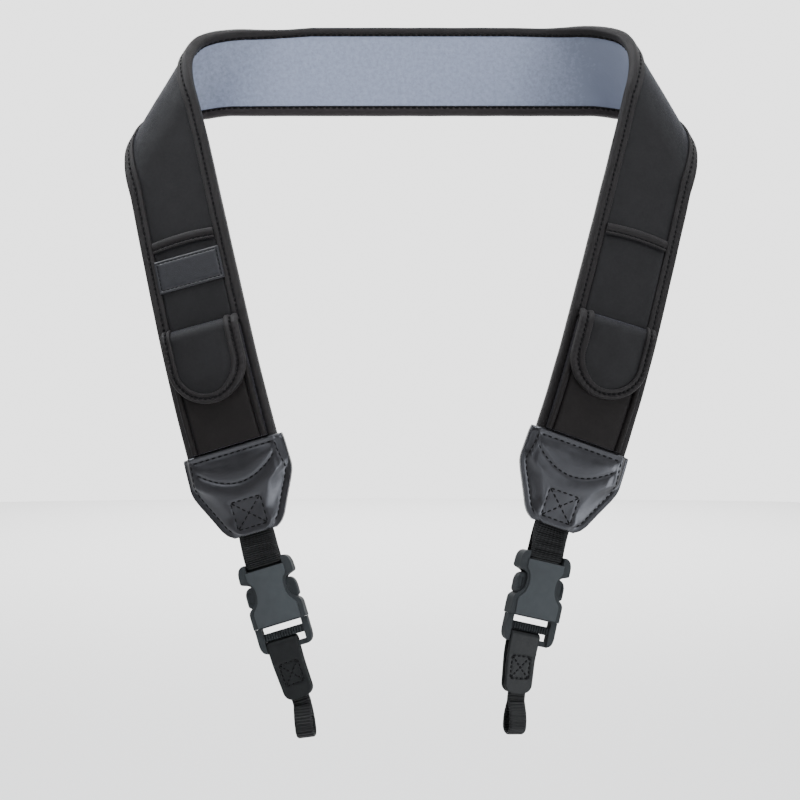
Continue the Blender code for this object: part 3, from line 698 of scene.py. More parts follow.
# ---------------------------------------------------------------- slip pocket and label
def make_slip_pocket(side):
    """The pocket's panel, and the tape folded over its mouth, which bows up in the middle."""
    mouth = PATCH_AT - POCKET_MOUTH
    start = mouth - 0.4
    low_edge = mouth + MOUTH_BAND
    half = HALF - TAPE_FACE - 0.25

    def bow(u):
        return MOUTH_BOW * (1 - (u / half) ** 2)

    top = [(u, TAPE_TOP - 0.05 + 0.2 * (1 - (u / half) ** 4) - 0.5 * smoothstep(abs(u) - half + 1.0))
           for u in np.linspace(half, -half, 41)]
    low = [(u, PAD_TOP + 0.35) for u in np.linspace(-half, half, 21)]
    stations = np.concatenate((steps_between(start, low_edge + 3.0, 0.3),
                               steps_between(low_edge + 3.0, PATCH_AT + TUCKED, 1.5)[1:]))
    loops = along_strap(stations, np.array(top + low))
    s, u, h = columns_of(loops)
    face = (h > TAPE_TOP - 0.5) & (np.abs(u) < half - 1.5)
    pressed = 0.60 * bump(s - low_edge - 0.35 + bow(u), 0.0, 0.65)
    loops[..., 2] -= np.where(h > TAPE_TOP - 0.7, pressed, 0.0)
    loops[..., 2] += np.where(face, ripple(s, u, 20.0, 0.10, 17 + side.sign), 0.0)
    loft_on(side, "slip_pocket_panel", "slip_pocket", loops, "face")

    lip = mouth - 0.3 - TAPE_THICK
    face_top = TAPE_TOP + 0.3 + TAPE_THICK
    seam = low_edge - 1.5
    profile = rounded([
        (lip, PAD_TOP + 0.35, 0.1), (lip, face_top - 0.1, 1.4), (lip + 2.4, face_top + 0.55, 1.6),
        (seam - 0.7, face_top, 0.6), (seam, face_top - 0.75, 0.35), (seam + 0.7, face_top + 0.40, 0.5),
        (low_edge, face_top + 0.5, 0.5), (low_edge, TAPE_TOP + 0.85, 0.1),
        (seam - 0.4, TAPE_TOP + 0.32, 0.4), (start, TAPE_TOP + 0.32, 0.0), (start, PAD_TOP + 0.35, 0.0)])
    loops = np.array([flat_rows(profile[:, 0] - bow(u), u, profile[:, 1])
                      for u in steps_between(-half, half, 1.0)])
    s, u, h = columns_of(loops)
    drawn_in = 0.08 * pinch(u, MOUTH_THREAD.pitch) * bump(s, seam, 1.0)
    loops[..., 2] -= np.where(h > face_top - 0.6, drawn_in, 0.0)
    loft_on(side, "pocket_mouth_tape", "slip_pocket_binding", loops, "tape")
    across = steps_between(1.0 - half, half - 1.0, 1.0)
    path = flat_rows(seam - bow(across), across, face_top - 0.42)
    make_stitches("stitches_pocket_mouth_" + side.name, [path], on_side(side), "edge_tape", MOUTH_THREAD)


def make_label():
    """A bare label with a pressed frame line, sewn on near its edge."""
    middle = PATCH_AT - LABEL_ABOVE
    wide, tall = LABEL_HALF
    rows = []
    for along in steps_between(-tall, tall, 0.3):
        u = steps_between(wide, -wide, 0.3)
        edge = np.minimum(wide - np.abs(u), tall - abs(along))
        top = ON_STRAP + LABEL_THICK - 0.35 * (1 - smoothstep(edge / 0.7))
        top = top - 0.42 * bump(edge, LABEL_FRAME_IN, 0.35)
        top = top + 0.12 * smoothstep((edge - LABEL_FRAME_IN) / 2.0)
        low = np.full(len(u), ON_STRAP - 0.05)
        rows.append(flat_rows(middle + along, np.append(u, u[::-1]), np.append(top, low)))
    loft("bare_label_left", rows, on_side(LEFT), "label", "label_patch_left")
    reach_u, reach_s = wide - LABEL_FRAME_IN, tall - LABEL_FRAME_IN
    height = ON_STRAP + LABEL_THICK - 0.25
    corners = [(middle + s * reach_s, u * reach_u, height)
               for s, u in ((-1, -1), (-1, 1), (1, 1), (1, -1), (-1, -1))]
    paths = list(zip(corners, corners[1:]))
    make_stitches("stitches_label_left", paths, on_side(LEFT), "label", LABEL_THREAD)


# ---------------------------------------------------------------- flap pocket
NECK_SIDE_WIDER = 0.4          # share by which the flap's tape is wider next to the neck
POUCH = np.array([  # below the pouch's mouth: along, height of the front wall, height of the hollow
    (0.0, 0.82, 0.55),
    (6.0, 1.0, 0.74),
    (39.0, 1.0, 0.74),
    (54.6, 0.8, 0.5),
    (61.6, 0.62, 0.30),
    (64.0, 0.56, 0.04),
])


def make_pouch(side):
    """A shallow pouch, hollow under its front wall and open towards the flap's fold."""
    def section(s):
        rise, hollow = (np.interp(s - POUCH_AT, POUCH[:, 0], POUCH[:, column]) for column in (1, 2))
        top = ON_STRAP + POUCH_DEPTH * rise
        roof = ON_STRAP + POUCH_DEPTH * hollow
        valley = max(top - 1.7, ON_STRAP + 0.9)
        outer = rounded([
            (POUCH_HALF, ON_STRAP, 0.2), (POUCH_HALF + 0.1, top + 0.2, 2.0), (18.9, top + 0.3, 1.4),
            (18.3, valley, 0.4), (17.2, top - 0.25, 1.0), (9.0, top + 0.1, 2.0),
            (0.0, top + 0.15, 2.0)], closed=False)
        inner = rounded([(19.9, ON_STRAP, 0.0), (19.9, ON_STRAP + (roof - ON_STRAP) * 0.7, 0.4),
                         (16.9, roof, 0.4), (0.0, roof, 0.0)], 2, closed=False)
        return np.vstack((mirrored(outer), mirrored(inner)[::-1]))

    loops = along_strap(steps_between(POUCH_AT, POUCH_AT + POUCH[-1, 0], 1.2), section)
    s, u, h = columns_of(loops)
    face = np.arange(loops.shape[1]) < loops.shape[1] // 2
    wave = ripple(s, u, 24.0, 0.22, 23 + side.sign) * smoothstep(h - ON_STRAP - 1.5)
    loops[..., 2] += np.where(face, wave, 0.0)
    # the pouch takes the warmer, darker copy of the face fabric, which is partly painted shade
    loft_on(side, "flap_pocket_body", "flap_pocket", loops, "pocket")


def make_flap(side):
    """The flap: rolled over at its top, round at its end and a little crowned."""
    radius = FLAP_HALF - TAPE_THICK - 0.3
    rolled = FLAP_AT + FLAP_ROLL
    roll = np.linspace(0, math.pi / 2, 13)
    run_points = 30
    outer = np.column_stack((FLAP_AT + FLAP_ROLL * (1 - np.cos(roll)),
                             ON_STRAP + (FLAP_TOP - ON_STRAP) * np.sin(roll)))
    inner = np.column_stack((rolled - (FLAP_ROLL - (FLAP_TOP - FLAP_LOW)) * np.cos(roll),
                             ON_STRAP + (FLAP_LOW - ON_STRAP) * np.sin(roll)))[::-1]
    columns = []
    for turn in np.radians(np.linspace(-86, 86, 57)):
        tip = FLAP_ROUND_AT + radius * math.cos(turn)
        run = np.linspace(rolled, tip - 0.8, run_points + 1)[1:]
        end = [(tip - 0.2, FLAP_TOP - 0.3), (tip, FLAP_TOP - 0.9), (tip, FLAP_LOW)]
        face = [(s, FLAP_TOP) for s in run]
        under = [(s, FLAP_LOW) for s in run[::-3]]
        profile = np.vstack((outer, face, end, under, inner))
        columns.append(flat_rows(profile[:, 0], radius * math.sin(turn), profile[:, 1]))
    loops = np.array(columns)
    s, u, h = columns_of(loops)
    from_edge = np.where(s > FLAP_ROUND_AT, radius - np.hypot(s - FLAP_ROUND_AT, u), radius - np.abs(u))
    crown = smoothstep((from_edge - 3.6) / 8.0) * smoothstep((h - ON_STRAP) / 5.0)
    outside = np.arange(loops.shape[1]) < len(roll) + run_points
    swell = crown * (1.0 + ripple(s, u, 22.0, 0.5, 31 + side.sign))
    loops[..., 2] += np.where(outside, swell, 0.0)
    loft_on(side, "flap_cover", "flap", loops, "face")


def flap_route():
    """Stations of the flap's tape: (s, h), the way across in degrees, and the face's normal (s, h)."""
    route = []
    for turn in np.radians(np.linspace(18, 90, 12)):
        lean = math.atan2(math.sin(turn) / (FLAP_TOP - ON_STRAP), math.cos(turn) / FLAP_ROLL)
        route.append((FLAP_AT + FLAP_ROLL * (1 - math.cos(turn)),
                      ON_STRAP + (FLAP_TOP - ON_STRAP) * math.sin(turn),
                      90.0, -math.cos(lean), math.sin(lean)))
    for s in steps_between(FLAP_AT + FLAP_ROLL, FLAP_ROUND_AT, 0.7)[1:]:
        route.append((s, FLAP_TOP, 90.0, 0.0, 1.0))
    bend = [(FLAP_ROUND_AT, FLAP_TOP, degrees, 0.0, 1.0) for degrees in np.linspace(88, -88, 89)]
    other = [(s, h, -90.0, normal_s, normal_h) for s, h, _, normal_s, normal_h in reversed(route)]
    return route + bend + other


def make_flap_tape(side):
    """Tape round the flap's edge, whose outer half each stitch draws in a little."""
    seam, face = FLAP_SEAM_IN, FLAP_TAPE
    outline = rounded([  # inward from the edge, and height over the flap's face
        (-0.05, FLAP_LOW - FLAP_TOP, 0.3), (-0.05, 1.0, 1.8), (seam - 0.9, 1.25, 0.8), (seam, 0.35, 0.35),
        (seam + 0.8, 1.2, 0.6), (face - 0.1, 1.55, 1.0), (face, 0.25, 0.2), (1.1, 0.25, 0.0),
        (TAPE_THICK, 0.0, 0.0), (TAPE_THICK, FLAP_LOW - FLAP_TOP, 0.2)])
    inward, over = outline.T
    loops = []
    path = []
    for s, h, degrees, normal_s, normal_h in flap_route():
        ahead, across = math.cos(math.radians(degrees)), math.sin(math.radians(degrees))
        widen = 1.0 + NECK_SIDE_WIDER * smoothstep(across)
        for reach, high, made in ((FLAP_HALF - inward * widen, over, loops),
                                  (FLAP_HALF - seam * widen, FLAP_SEAM_HIGH, path)):
            made.append(np.transpose(
                (s + reach * ahead + high * normal_s, reach * across, h + high * normal_h)))
    loops, path = np.array(loops), np.array(path)
    pull = 0.32 * bump(inward, seam - 1.3, 1.5) * (over > 0.3)
    loops[..., 2] -= pull * (1 - pinch(walk(path), FLAP_THREAD.pitch))[:, None]
    loft_on(side, "flap_edge_tape", "flap_binding", loops, "tape")
    make_stitches("stitches_flap_" + side.name, [path[3:-3]], on_side(side), "edge_tape", FLAP_THREAD)


# ---------------------------------------------------------------- end patch
PATCH = np.array([  # past the top edge: along, half width, inside of the front leaf, of the back leaf
    (0.0, 28.3, 6.5, -0.4),
    (3.0, 28.7, 6.5, -0.4),
    (10.0, 29.0, 6.5, -0.4),
    (18.0, 29.3, 6.0, -0.1),
    (21.5, 28.7, 5.9, 0.1),
    (26.0, 26.9, 5.6, 0.3),
    (35.5, 22.3, 4.8, 0.7),
    (44.0, 18.3, 4.3, 0.9),
    (47.5, 15.6, 4.2, 0.9),
    (49.0, 13.2, 4.2, 0.9),
    (PATCH_LENGTH, 11.8, 4.2, 0.9),
])
SMILE_HALF = 22.5              # the curved seam
SMILE_TOP = 10.0
SMILE_LOW = 20.3
SEWN_BOX = (30.2, 45.8, 8.7)   # top and bottom past the patch's top edge, half width
RIM_SEAM = 3.3
TOP_SEAM = 3.6


def patch_value(past, column):
    """A column of the table, eased where its rows change slope."""
    spans = [np.interp(past + offset, PATCH[:, 0], PATCH[:, column])
             for offset in (-1.0, -0.5, 0.0, 0.5, 1.0)]
    return sum(spans) / len(spans)


def leaf_inside(past, outward):
    """Height of a leaf's inner face over the plane where the two leaves meet, in its middle."""
    return outward * (patch_value(past, 2 if outward > 0 else 3) - MID)


def smile_line(u):
    return SMILE_LOW - (SMILE_LOW - SMILE_TOP) * (u / SMILE_HALF) ** 2


def leaf_rise(past, edge):
    """Share of the way from the flat rim up to the leaf's middle, that far from the edge."""
    flat_rim = 0.9 + 1.7 * smoothstep((past - 14.0) / 8.0)
    slope = 3.3 + 7.0 * smoothstep((past - 16.0) / 10.0) - 6.3 * smoothstep((past - 37.0) / 9.0)
    return smoothstep((edge - flat_rim) / slope)


def rim_inset(past):
    """How far in from the edge the rim's seam runs, measured across the strap."""
    slope = patch_value(past + 0.5, 1) - patch_value(past - 0.5, 1)
    inset = RIM_SEAM + 1.2 * (1 - smoothstep((past - 6.0) / 12.0))
    return inset * np.sqrt(1 + np.minimum(slope ** 2, 1.2))


def leaf_height(past, u, half, outward):
    """Height of a leaf's outer face over the plane where the two leaves meet."""
    plateau = leaf_inside(past, outward) + PATCH_THICK
    rim = LIE_GAP + PATCH_THICK
    edge = half - np.abs(u)
    height = rim + (plateau - rim) * leaf_rise(past, edge)
    height = height - 0.35 * smoothstep((past - PATCH_LENGTH + 0.8) / 0.8)
    height = height - 0.85 * (1 - np.sqrt(1 - np.clip(1 - past / 0.9, 0, 1) ** 2))
    # seams, and the soft swellings between them
    seams = 0.42 * bump(edge, rim_inset(past), 0.6) * smoothstep((past - 3.0) / 4.0)
    if outward > 0:
        inside = smoothstep((24.0 - np.abs(u)) / 3.0)
        seams = seams + 0.42 * bump(past, TOP_SEAM, 1.1) * inside
        off_smile = past - smile_line(u)
        on_smile = smoothstep((SMILE_HALF + 1.0 - np.abs(u)) / 3.0)
        seams = seams + 0.60 * bump(off_smile, 0.0, 1.2) * on_smile
        height = height + 0.7 * bump(off_smile, -6.0, 5.5) * on_smile * smoothstep((past - TOP_SEAM) / 6.0)
        height = height + 0.6 * bump(off_smile, 6.0, 5.0) * on_smile
        height = height + 0.60 * bump(past, 1.3, 0.9)
    top, low, box_half = SEWN_BOX
    box = np.maximum(np.abs(u) - box_half, np.abs(past - (top + low) / 2) - (low - top) / 2)
    seams = seams + 0.20 * bump(box, 0.0, 0.8) + 0.15 * smoothstep((2.0 - box) / 4.0)
    height = height + ripple(past, u, 15.0, 0.22, 41 + outward) * smoothstep((edge - 4.0) / 4.0)
    return height - seams


def leaf_rows(outward):
    """Rows of one leaf from the patch's top edge down, outer face first."""
    rows = []
    across = np.linspace(1, -1, 97)
    for past in np.concatenate(((0.0, 0.1, 0.25, 0.45, 0.7), steps_between(1.0, PATCH_LENGTH, 0.6))):
        half = patch_value(past, 1)
        u = across * half
        outer = MID + outward * leaf_height(past, u, half, outward)
        coarse = u[::-3]
        rise = leaf_rise(past, half - np.abs(coarse) - 0.9)
        inner = MID + outward * (LIE_GAP + (leaf_inside(past, outward) - LIE_GAP) * rise)
        rows.append(flat_rows(PATCH_AT + past, np.append(u, coarse), np.append(outer, inner)))
    return rows


def on_leaf(past, u, outward):
    """Flat points on a leaf's outer face, for its stitches."""
    height = leaf_height(past, u, patch_value(past, 1), outward) + 0.08
    return flat_rows(PATCH_AT + past, u, MID + outward * height)


def make_end_patch(side):
    for name, outward in FACES:
        loft_on(side, "patch_leaf_" + name, "end_patch_" + name, leaf_rows(outward), "leather")
        past = steps_between(4.0, PATCH_LENGTH - 3.5, 0.8)
        rim = patch_value(past, 1) - rim_inset(past)
        runs = [(past, rim), (past, -rim)] + box_and_cross(*SEWN_BOX, 25)
        if outward > 0:
            smile = np.linspace(-SMILE_HALF, SMILE_HALF, 60)
            runs += [(np.full(60, TOP_SEAM), np.linspace(-23.0, 23.0, 60)), (smile_line(smile), smile)]
        make_stitches(f"stitches_patch_{name}_{side.name}", [on_leaf(*run, outward) for run in runs],
                      on_side(side), "patch_leather", PATCH_THREAD, outward)


# ---------------------------------------------------------------- bands: webbing, tab and lug loop
def hairpin_line(spine, turn_at, radius, steps=14):
    """Middle line (s, h) of a band that runs out, round a bar and back; spine is (s, half gap)."""
    facing = 1 if turn_at > spine[-1][0] else -1
    half = [np.array(point, float) for point in spine]
    for turn in np.linspace(math.pi / 2, 0, steps):
        half.append(np.array((turn_at + facing * radius * math.cos(turn), radius * math.sin(turn))))
    half = np.array(half)
    line = np.vstack((half, half[-2::-1] * (1.0, -1.0)))
    return line + (0.0, MID)


def band_loops(line, step, half_at, thick, relief, edge=0.45, columns=25, shift=0.0):
    """Sections across a band that follows a line (s, h); relief(walked, u, s, face) lifts its faces."""
    route = walk(line)
    walked = steps_between(0.0, route[-1], step)
    points = points_at(walked, route, line)
    heading = np.gradient(points, axis=0)
    for _ in range(2):
        heading[1:-1] = (heading[:-2] + heading[1:-1] * 2 + heading[2:]) / 4
    heading /= np.linalg.norm(heading, axis=1)[:, None]
    normal = np.column_stack((-heading[:, 1], heading[:, 0]))
    loops = []
    for (s, h), (out_s, out_h), along in zip(points, normal, walked):
        half = half_at(s)
        u = np.linspace(half, -half, columns)
        ease = np.sqrt(1 - np.clip((np.abs(u) - half + edge) / edge, 0, 1) ** 2 * 0.96)
        upper = (thick / 2 + relief(along, u, s, 1)) * ease
        lower = (thick / 2 + relief(along, u, s, -1)) * ease
        loops.append(np.vstack((flat_rows(s + out_s * upper, u, h + out_h * upper),
                                flat_rows(s - out_s * lower, u, h - out_h * lower)[::-1])))
    return np.array(loops) + (0.0, shift, 0.0)


def make_webbing(side):
    pitch, depth = WEBBING_RIB

    def relief(along, u, s, face):
        rib = np.sin(2 * math.pi * along / pitch)
        return depth * rib * smoothstep((WEBBING_HALF - 0.7 - np.abs(u)) / 0.6)

    close = LIE_GAP + WEBBING_THICK / 2
    spine = [(PATCH_AT + past, close) for past in (31.0, 40.0, 48.0)]
    spine += [(PATCH_AT + 48.0 + past, close + 0.1 * past) for past in (3.0, 6.0, 9.0, 12.0, 15.0)]
    line = hairpin_line(spine, BUCKLE_AT - BAR_UP, BAR_LOOP + WEBBING_THICK / 2)
    loops = band_loops(line, 0.2, lambda s: WEBBING_HALF, WEBBING_THICK, relief, columns=17)
    loft_on(side, "webbing_band", "webbing", loops, "webbing")


def make_tab(side):
    shift = side.sign * TAB_SHIFT
    low_end = BUCKLE_AT + TAB_LENGTH
    box_top, box_low, box_half = BUCKLE_AT + TAB_BOX[0], BUCKLE_AT + TAB_BOX[1], TAB_BOX[2]

    def half_at(s):
        share = np.clip((s - BUCKLE_AT - TAB_TURN) / (TAB_LENGTH - TAB_TURN), 0, 1)
        half = TAB_HALF + (TAB_END_HALF - TAB_HALF) * share
        into = max(s - (low_end - TAB_CORNER), 0.0)
        return half - TAB_CORNER + math.sqrt(max(TAB_CORNER ** 2 - into ** 2, 0.04))

    def relief(along, u, s, face):
        box = np.maximum(np.abs(u) - box_half, abs(s - (box_top + box_low) / 2) - (box_low - box_top) / 2)
        seam = 0.22 * bump(box, 0.0, 0.5) + 0.14 * smoothstep((0.6 - box) / 1.2)
        return ripple(s, u, 9.0, 0.07, 53 + face) - seam

    beside = LUG_THICK + 0.45 + TAB_THICK / 2
    on_bar = TAB_LOOP + TAB_THICK / 2
    spine = [(low_end, beside), (low_end - 8, beside), (BUCKLE_AT + 26, beside),
             (BUCKLE_AT + 20, on_bar), (BUCKLE_AT + 16, on_bar)]
    line = hairpin_line(spine, BUCKLE_AT + TAB_TURN, on_bar)
    loops = band_loops(line, 0.45, half_at, TAB_THICK, relief, 0.6, 29, shift)
    loft_on(side, "tab_strip", "tab", loops, "tab")

    for name, face in FACES:
        height = MID + face * (beside + TAB_THICK / 2 + 0.02)
        paths = []
        for s_run, u_run in box_and_cross(box_top, box_low, box_half, 9):
            slope = np.interp(s_run, (BUCKLE_AT + 20, BUCKLE_AT + 26), (TAB_LOOP - LUG_THICK - 0.45, 0.0))
            paths.append(flat_rows(s_run, u_run + shift, height + face * slope))
        make_stitches(f"stitches_tab_{name}_{side.name}", paths, on_side(side),
                      "tab_leather", TAB_THREAD, face)


def make_lug_loop(side):
    pitch, depth = LUG_RIB

    def relief(along, u, s, face):
        rib = np.cos(2 * math.pi * along / pitch)
        return depth * rib * smoothstep((LUG_HALF - 0.3 - np.abs(u)) / 0.6) + 0.04

    close = LIE_GAP + LUG_THICK / 2
    wide = LUG_HOLE / 2 + LUG_THICK / 2
    turn_at = BUCKLE_AT + LUG_LENGTH - LUG_HOLE / 2 - LUG_THICK
    spine = [(BUCKLE_AT + 27, close), (BUCKLE_AT + 41, close), (BUCKLE_AT + 46, close),
             (BUCKLE_AT + 49, close + 1.5), (turn_at - 7.0, wide - 1.0), (turn_at - 3.5, wide - 0.1)]
    line = hairpin_line(spine, turn_at, wide)
    loops = band_loops(line, 0.3, lambda s: LUG_HALF, LUG_THICK, relief, 0.4, 13,
                       side.sign * TAB_SHIFT - LUG_OUTWARD)
    loft_on(side, "lug_webbing", "lug_loop", loops, "webbing")


# ---------------------------------------------------------------- side-release buckle
# Half outlines seen from the front: across, up from the socket's lower edge, rounding of the corner.
SOCKET_OUTLINE = [
    (14.9, 0.0, 0.2), (15.1, 0.3, 0.2), (15.1, 9.9, 2.0), (10.4, 13.6, 2.0), (9.3, 15.8, 1.2),
    (9.0, 20.5, 2.4), (10.0, 23.9, 1.8), (14.9, 25.6, 0.7), (15.4, 26.6, 0.7), (15.2, 31.8, 2.2),
    (13.9, 34.6, 1.5), (11.9, 35.6, 1.5)]
PLUG_OUTLINE = [
    (11.4, -14.6, 1.5), (13.5, -13.7, 1.2), (14.7, -11.8, 1.2), (15.1, -9.5, 1.2), (15.1, -0.06, 0.1),
    (12.9, -0.06, 0.0), (12.9, 11.7, 0.4), (14.6, 12.8, 1.0), (14.6, 19.0, 1.6), (13.9, 21.3, 1.2),
    (12.5, 22.8, 1.2), (10.6, 23.4, 1.0), (8.6, 22.6, 0.8), (8.1, 18.0, 0.0), (8.2, 8.0, 0.0),
    (8.7, 3.4, 0.0), (2.2, 3.4, 0.0), (1.8, 19.5, 0.0), (0.0, 20.2, 0.0)]
PANEL_OUTLINE = [  # the raised middle of the socket's faces
    (12.2, 0.5, 0.5), (12.6, 8.8, 1.6), (8.9, 13.0, 1.6), (8.0, 16.2, 1.2), (7.8, 20.2, 2.0),
    (8.7, 23.8, 1.6), (10.9, 26.2, 1.0), (10.9, 31.1, 0.5)]
PANEL_HIGH = 0.9
SOCKET_THICK = 9.0
SOCKET_WALL = 1.8
SOCKET_ROOM = (13.3, 24.5)     # the room for the plug: half its width, its top
MOUTH_FRONT = 31.4             # lower edge of the webbing's opening, on the front
MOUTH_BACK = 30.3
PLUG_THICK = 5.2
FOOT_BAR_THICK = 2.6
LADDER_THICK = 3.2
PRESS_HOLLOW = ((10.8, 14.4), (13.4, 20.6))    # the dished face of the part that is pressed
PRESS_FLOOR = 2.1
SLOT_HALF = 11.4
SLOTS = ((-3.5, -0.35), (-11.6, -7.9))
BAR_HIGH = 2.2
BAR_THICK = 2.0
RIBS = 15
PAST = 9.0                     # how far a cutting box reaches past what it cuts


def hard_place(side):
    """Frame of the buckle: X across towards +X, Y up the strap, Z outwards; metres."""
    marks = [(BUCKLE_AT, 0, MID), (BUCKLE_AT, -side.sign, MID), (BUCKLE_AT, 0, MID + 1)]
    origin, beside, above = carry(side, marks)
    across = Vector(beside - origin).normalized()
    outward = Vector(above - origin).normalized()
    place = Matrix((across, outward.cross(across), outward)).transposed().to_4x4()
    place.translation = Vector(origin)
    return place


def evaluated_mesh(made):
    return bpy.data.meshes.new_from_object(made.evaluated_get(bpy.context.evaluated_depsgraph_get()))


def outline_piece(name, half_outline, holes, thick, edge, segments):
    """A flat plate of that outline, with eased edges."""
    half = rounded(half_outline, 5, closed=False)
    rings = [[(-x, y) for x, y in half[::-1] if x > 0.01] + [tuple(point) for point in half]]
    for low, high in holes:
        rings.append([(-SLOT_HALF, low), (SLOT_HALF, low), (SLOT_HALF, high), (-SLOT_HALF, high)])
    curve = bpy.data.curves.new(name + "_curve", "CURVE")
    curve.dimensions = "2D"
    curve.fill_mode = "BOTH"
    curve.extrude = thick / 2 * MM
    for ring in rings:
        spline = curve.splines.new("POLY")
        spline.points.add(len(ring) - 1)
        spline.use_cyclic_u = True
        for point, (x, y) in zip(spline.points, ring):
            point.co = (x * MM, y * MM, 0, 1)
    guide = add_object(name + "_guide", curve)
    mesh = evaluated_mesh(guide)
    bpy.data.objects.remove(guide)
    shape = bmesh.new()
    shape.from_mesh(mesh)
    bmesh.ops.remove_doubles(shape, verts=shape.verts, dist=0.00001)
    bmesh.ops.dissolve_limit(shape, angle_limit=0.01, verts=shape.verts, edges=shape.edges)
    bmesh.ops.recalc_face_normals(shape, faces=shape.faces)
    shape.to_mesh(mesh)
    shape.free()
    piece = add_object(name, mesh)
    bevel = piece.modifiers.new("eased_edges", "BEVEL")
    bevel.width = edge * MM
    bevel.segments = segments
    bevel.limit_method = "ANGLE"
    bevel.angle_limit = math.radians(40)
    return piece


def box_piece(low, high):
    bpy.ops.mesh.primitive_cube_add(size=1.0)
    box = bpy.context.object
    for vertex in box.data.vertices:
        vertex.co = Vector([(low[i] if vertex.co[i] < 0 else high[i]) * MM for i in range(3)])
    return box


def cut_boxes(piece, boxes, look):
    """Take boxes out of a hard piece, then keep the result as its mesh."""
    cutters = [box_piece(low, high) for low, high in boxes]
    for cutter in cutters:
        cut = piece.modifiers.new("cut", "BOOLEAN")
        cut.operation = "DIFFERENCE"
        cut.solver = "EXACT"
        cut.object = cutter
    piece.modifiers.new("even_shading", "WEIGHTED_NORMAL").keep_sharp = True
    mesh = evaluated_mesh(piece)
    for cutter in cutters:
        bpy.data.objects.remove(cutter)
    piece.modifiers.clear()
    piece.data = mesh
    dress(mesh, look, 35)


def make_socket(side):
    piece = outline_piece("socket_" + side.name, SOCKET_OUTLINE, (), SOCKET_THICK, 1.6, 5)
    wide = WEBBING_HALF + 0.4
    clear = BAR_LOOP + WEBBING_THICK + 0.3
    top = BAR_UP + PAST
    inside = SOCKET_THICK / 2 - SOCKET_WALL
    room_half, room_top = SOCKET_ROOM
    cut_boxes(piece, [
        ((-wide, MOUTH_FRONT, BAR_THICK / 2), (wide, top, PAST)),
        ((-wide, MOUTH_BACK, -PAST), (wide, top, -BAR_THICK / 2)),
        ((-wide, BAR_UP + BAR_HIGH / 2, -clear), (wide, top, clear)),
        ((-wide, MOUTH_BACK, -clear), (wide, BAR_UP - BAR_HIGH / 2, clear)),
        ((-room_half, -PAST, -inside), (room_half, room_top, inside))], "shell")
    piece.matrix_world = hard_place(side)
    finish(piece, "buckle_plastic", "buckle_socket_" + side.name)
    for name, face in FACES:
        panel = outline_piece(f"socket_panel_{name}_{side.name}", PANEL_OUTLINE, (),
                              PANEL_HIGH * 2, 0.35, 2)
        cut_boxes(panel, [], "panel")
        panel.matrix_world = hard_place(side) @ Matrix.Translation((0, 0, face * SOCKET_THICK / 2 * MM))
        finish(panel, "buckle_plastic")


def make_plug(side):
    piece = outline_piece("plug_" + side.name, PLUG_OUTLINE, SLOTS, PLUG_THICK, 1.0, 4)
    (foot_top, low), (high, _) = SLOTS[1], SLOTS[0]
    (left, bottom), (right, top) = PRESS_HOLLOW
    hollows = (((-SLOT_HALF + 0.1, low + 0.05), (SLOT_HALF - 0.1, high - 0.05), LADDER_THICK / 2),
               ((-SLOT_HALF, foot_top - PAST), (SLOT_HALF, foot_top + 0.3), FOOT_BAR_THICK / 2),
               (*PRESS_HOLLOW, PRESS_FLOOR), ((-right, bottom), (-left, top), PRESS_FLOOR))
    boxes = []
    for _, face in FACES:
        for (left, bottom), (right, top), floor in hollows:
            depths = sorted((face * floor, face * PAST))
            boxes.append(((left, bottom, depths[0]), (right, top, depths[1])))
    cut_boxes(piece, boxes, "shell")
    piece.matrix_world = hard_place(side)
    finish(piece, "buckle_plastic", "buckle_plug_" + side.name)

    # the grip ribs on both faces of the ladder bar
    half = SLOT_HALF - 0.2
    x = np.linspace(-half, half, RIBS * 8 + 1)
    swell = LADDER_THICK / 2 + 0.05 + 1.4 * np.abs(np.sin(x / half * RIBS * math.pi / 2)) ** 0.7
    rows = []
    for y, share in ((low + 0.05, 0.0), (low + 0.3, 0.75), (low + 0.9, 1.0),
                     (high - 0.9, 1.0), (high - 0.3, 0.75), (high - 0.05, 0.0)):
        reach = (LADDER_THICK / 2 - 0.5) + (swell - LADDER_THICK / 2 + 0.5) * share
        rows.append(flat_rows(np.append(x, x[::-1]), y, np.append(reach, -reach[::-1])))
    place = np.array(hard_place(side))

    def at_buckle(flat):
        return flat * MM @ place[:3, :3].T + place[:3, 3]

    loft("ladder_ribs_" + side.name, rows, at_buckle, "shell", smooth=70.0)


# ---------------------------------------------------------------- everything
make_pad()
make_lining()
make_bindings()
make_label()
for strap_side in SIDES:
    for make in (make_slip_pocket, make_pouch, make_flap, make_flap_tape, make_end_patch,
                 make_webbing, make_tab, make_lug_loop, make_socket, make_plug):
        make(strap_side)


# ---------------------------------------------------------------- floor, light and camera
FLOOR_RADIUS = 6.0             # metres, like all of the places below
FLOOR_AT = (0.0, 0.0, -0.62)


def make_stage():
    bpy.ops.mesh.primitive_circle_add(vertices=128, radius=FLOOR_RADIUS,
                                      fill_type="NGON", location=FLOOR_AT)
    floor = bpy.context.object
    floor.name = "floor"
    pale = Shader("pale_floor", (0.86, 0.86, 0.86), 0.8)
    floor.data.materials.append(pale.material)


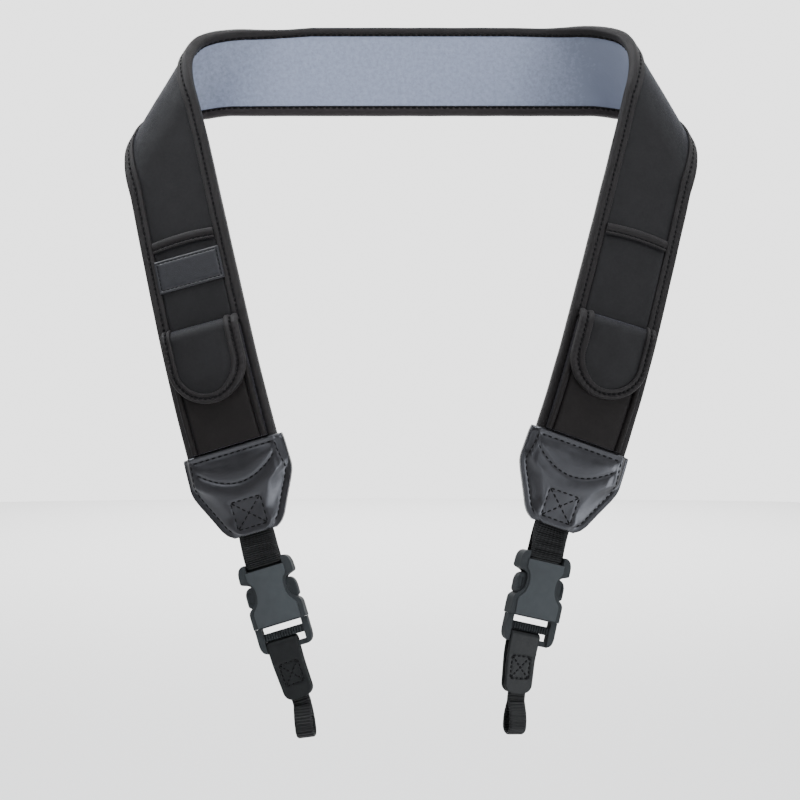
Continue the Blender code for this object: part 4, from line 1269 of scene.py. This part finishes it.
def studio_world():
    """Bright backdrop behind and overhead, dimmer towards the camera."""
    world = bpy.data.worlds.new("studio")
    world.use_nodes = True
    nodes = Nodes(world.node_tree)
    way = nodes.split(nodes.node("ShaderNodeTexCoord").outputs["Generated"])
    behind = nodes.span(way["Y"], 0.78, 0.945, 0.23, 2.6, "SMOOTHSTEP")
    overhead = nodes.span(way["Z"], 0.4, 1.0, 0.0, 1.2, "SMOOTHSTEP")
    background = world.node_tree.nodes["Background"].inputs
    background["Color"].default_value = (1.0, 1.0, 1.0, 1.0)
    nodes.link(nodes.math("MAXIMUM", behind, overhead), background["Strength"])
    bpy.context.scene.world = world


COOL = (0.93, 0.96, 1.0)
WHITE = (1.0, 1.0, 1.0)
LAMPS = [  # name, place, target, size, power, colour, spread in degrees
    ("key", (-0.45, -0.80, 0.65), (-0.06, -0.04, -0.08), (0.6, 0.6), 5.4, COOL, 180),
    ("fill", (0.55, -0.80, 0.65), (0.06, -0.04, -0.08), (0.5, 0.5), 2.0, COOL, 180),
    ("top", (0.0, -0.3, 0.9), (0.0, -0.04, -0.16), (1.2, 0.3), 11.5, COOL, 180),
    ("shoulder_left", (-0.66, -0.02, 0.66), (-0.15, -0.05, 0.0), (0.4, 0.4), 8.8, COOL, 180),
    ("shoulder_right", (0.75, -0.10, 0.46), (0.15, -0.05, 0.0), (0.4, 0.4), 3.5, COOL, 180),
    ("right_side", (0.84, -0.63, -0.36), (0.08, -0.08, -0.26), (0.45, 0.5), 7.2, COOL, 180),
    ("left_patch", (0.15, -0.98, -0.40), (-0.095, -0.09, -0.27), (0.16, 0.5), 0.19, COOL, 25),
    ("floor_wash", (0.0, 4.2, 1.7), (0.0, 4.2, 0.0), (4.0, 5.5), 330.0, WHITE, 180),
]


def light_scene():
    studio_world()
    for name, place, target, size, power, color, spread in LAMPS:
        lamp = bpy.data.lights.new(name, "AREA")
        lamp.shape = "RECTANGLE"
        lamp.size, lamp.size_y = size
        lamp.energy = power
        lamp.spread = math.radians(spread)
        lamp.color = color
        light = add_object(name, lamp)
        light.location = place
        light.rotation_euler = (Vector(target) - Vector(place)).to_track_quat("-Z", "Y").to_euler()


CAMERA_AT = (-0.0065, -0.980, -0.197)
FOCAL = 73.2


def add_camera():
    lens = bpy.data.cameras.new("camera")
    lens.lens = FOCAL
    lens.sensor_width = 36.0
    lens.clip_start = 0.01
    camera = add_object("camera", lens)
    camera.location = CAMERA_AT
    camera.rotation_euler = (math.radians(90), 0, 0)
    bpy.context.scene.camera = camera


make_stage()
light_scene()
add_camera()
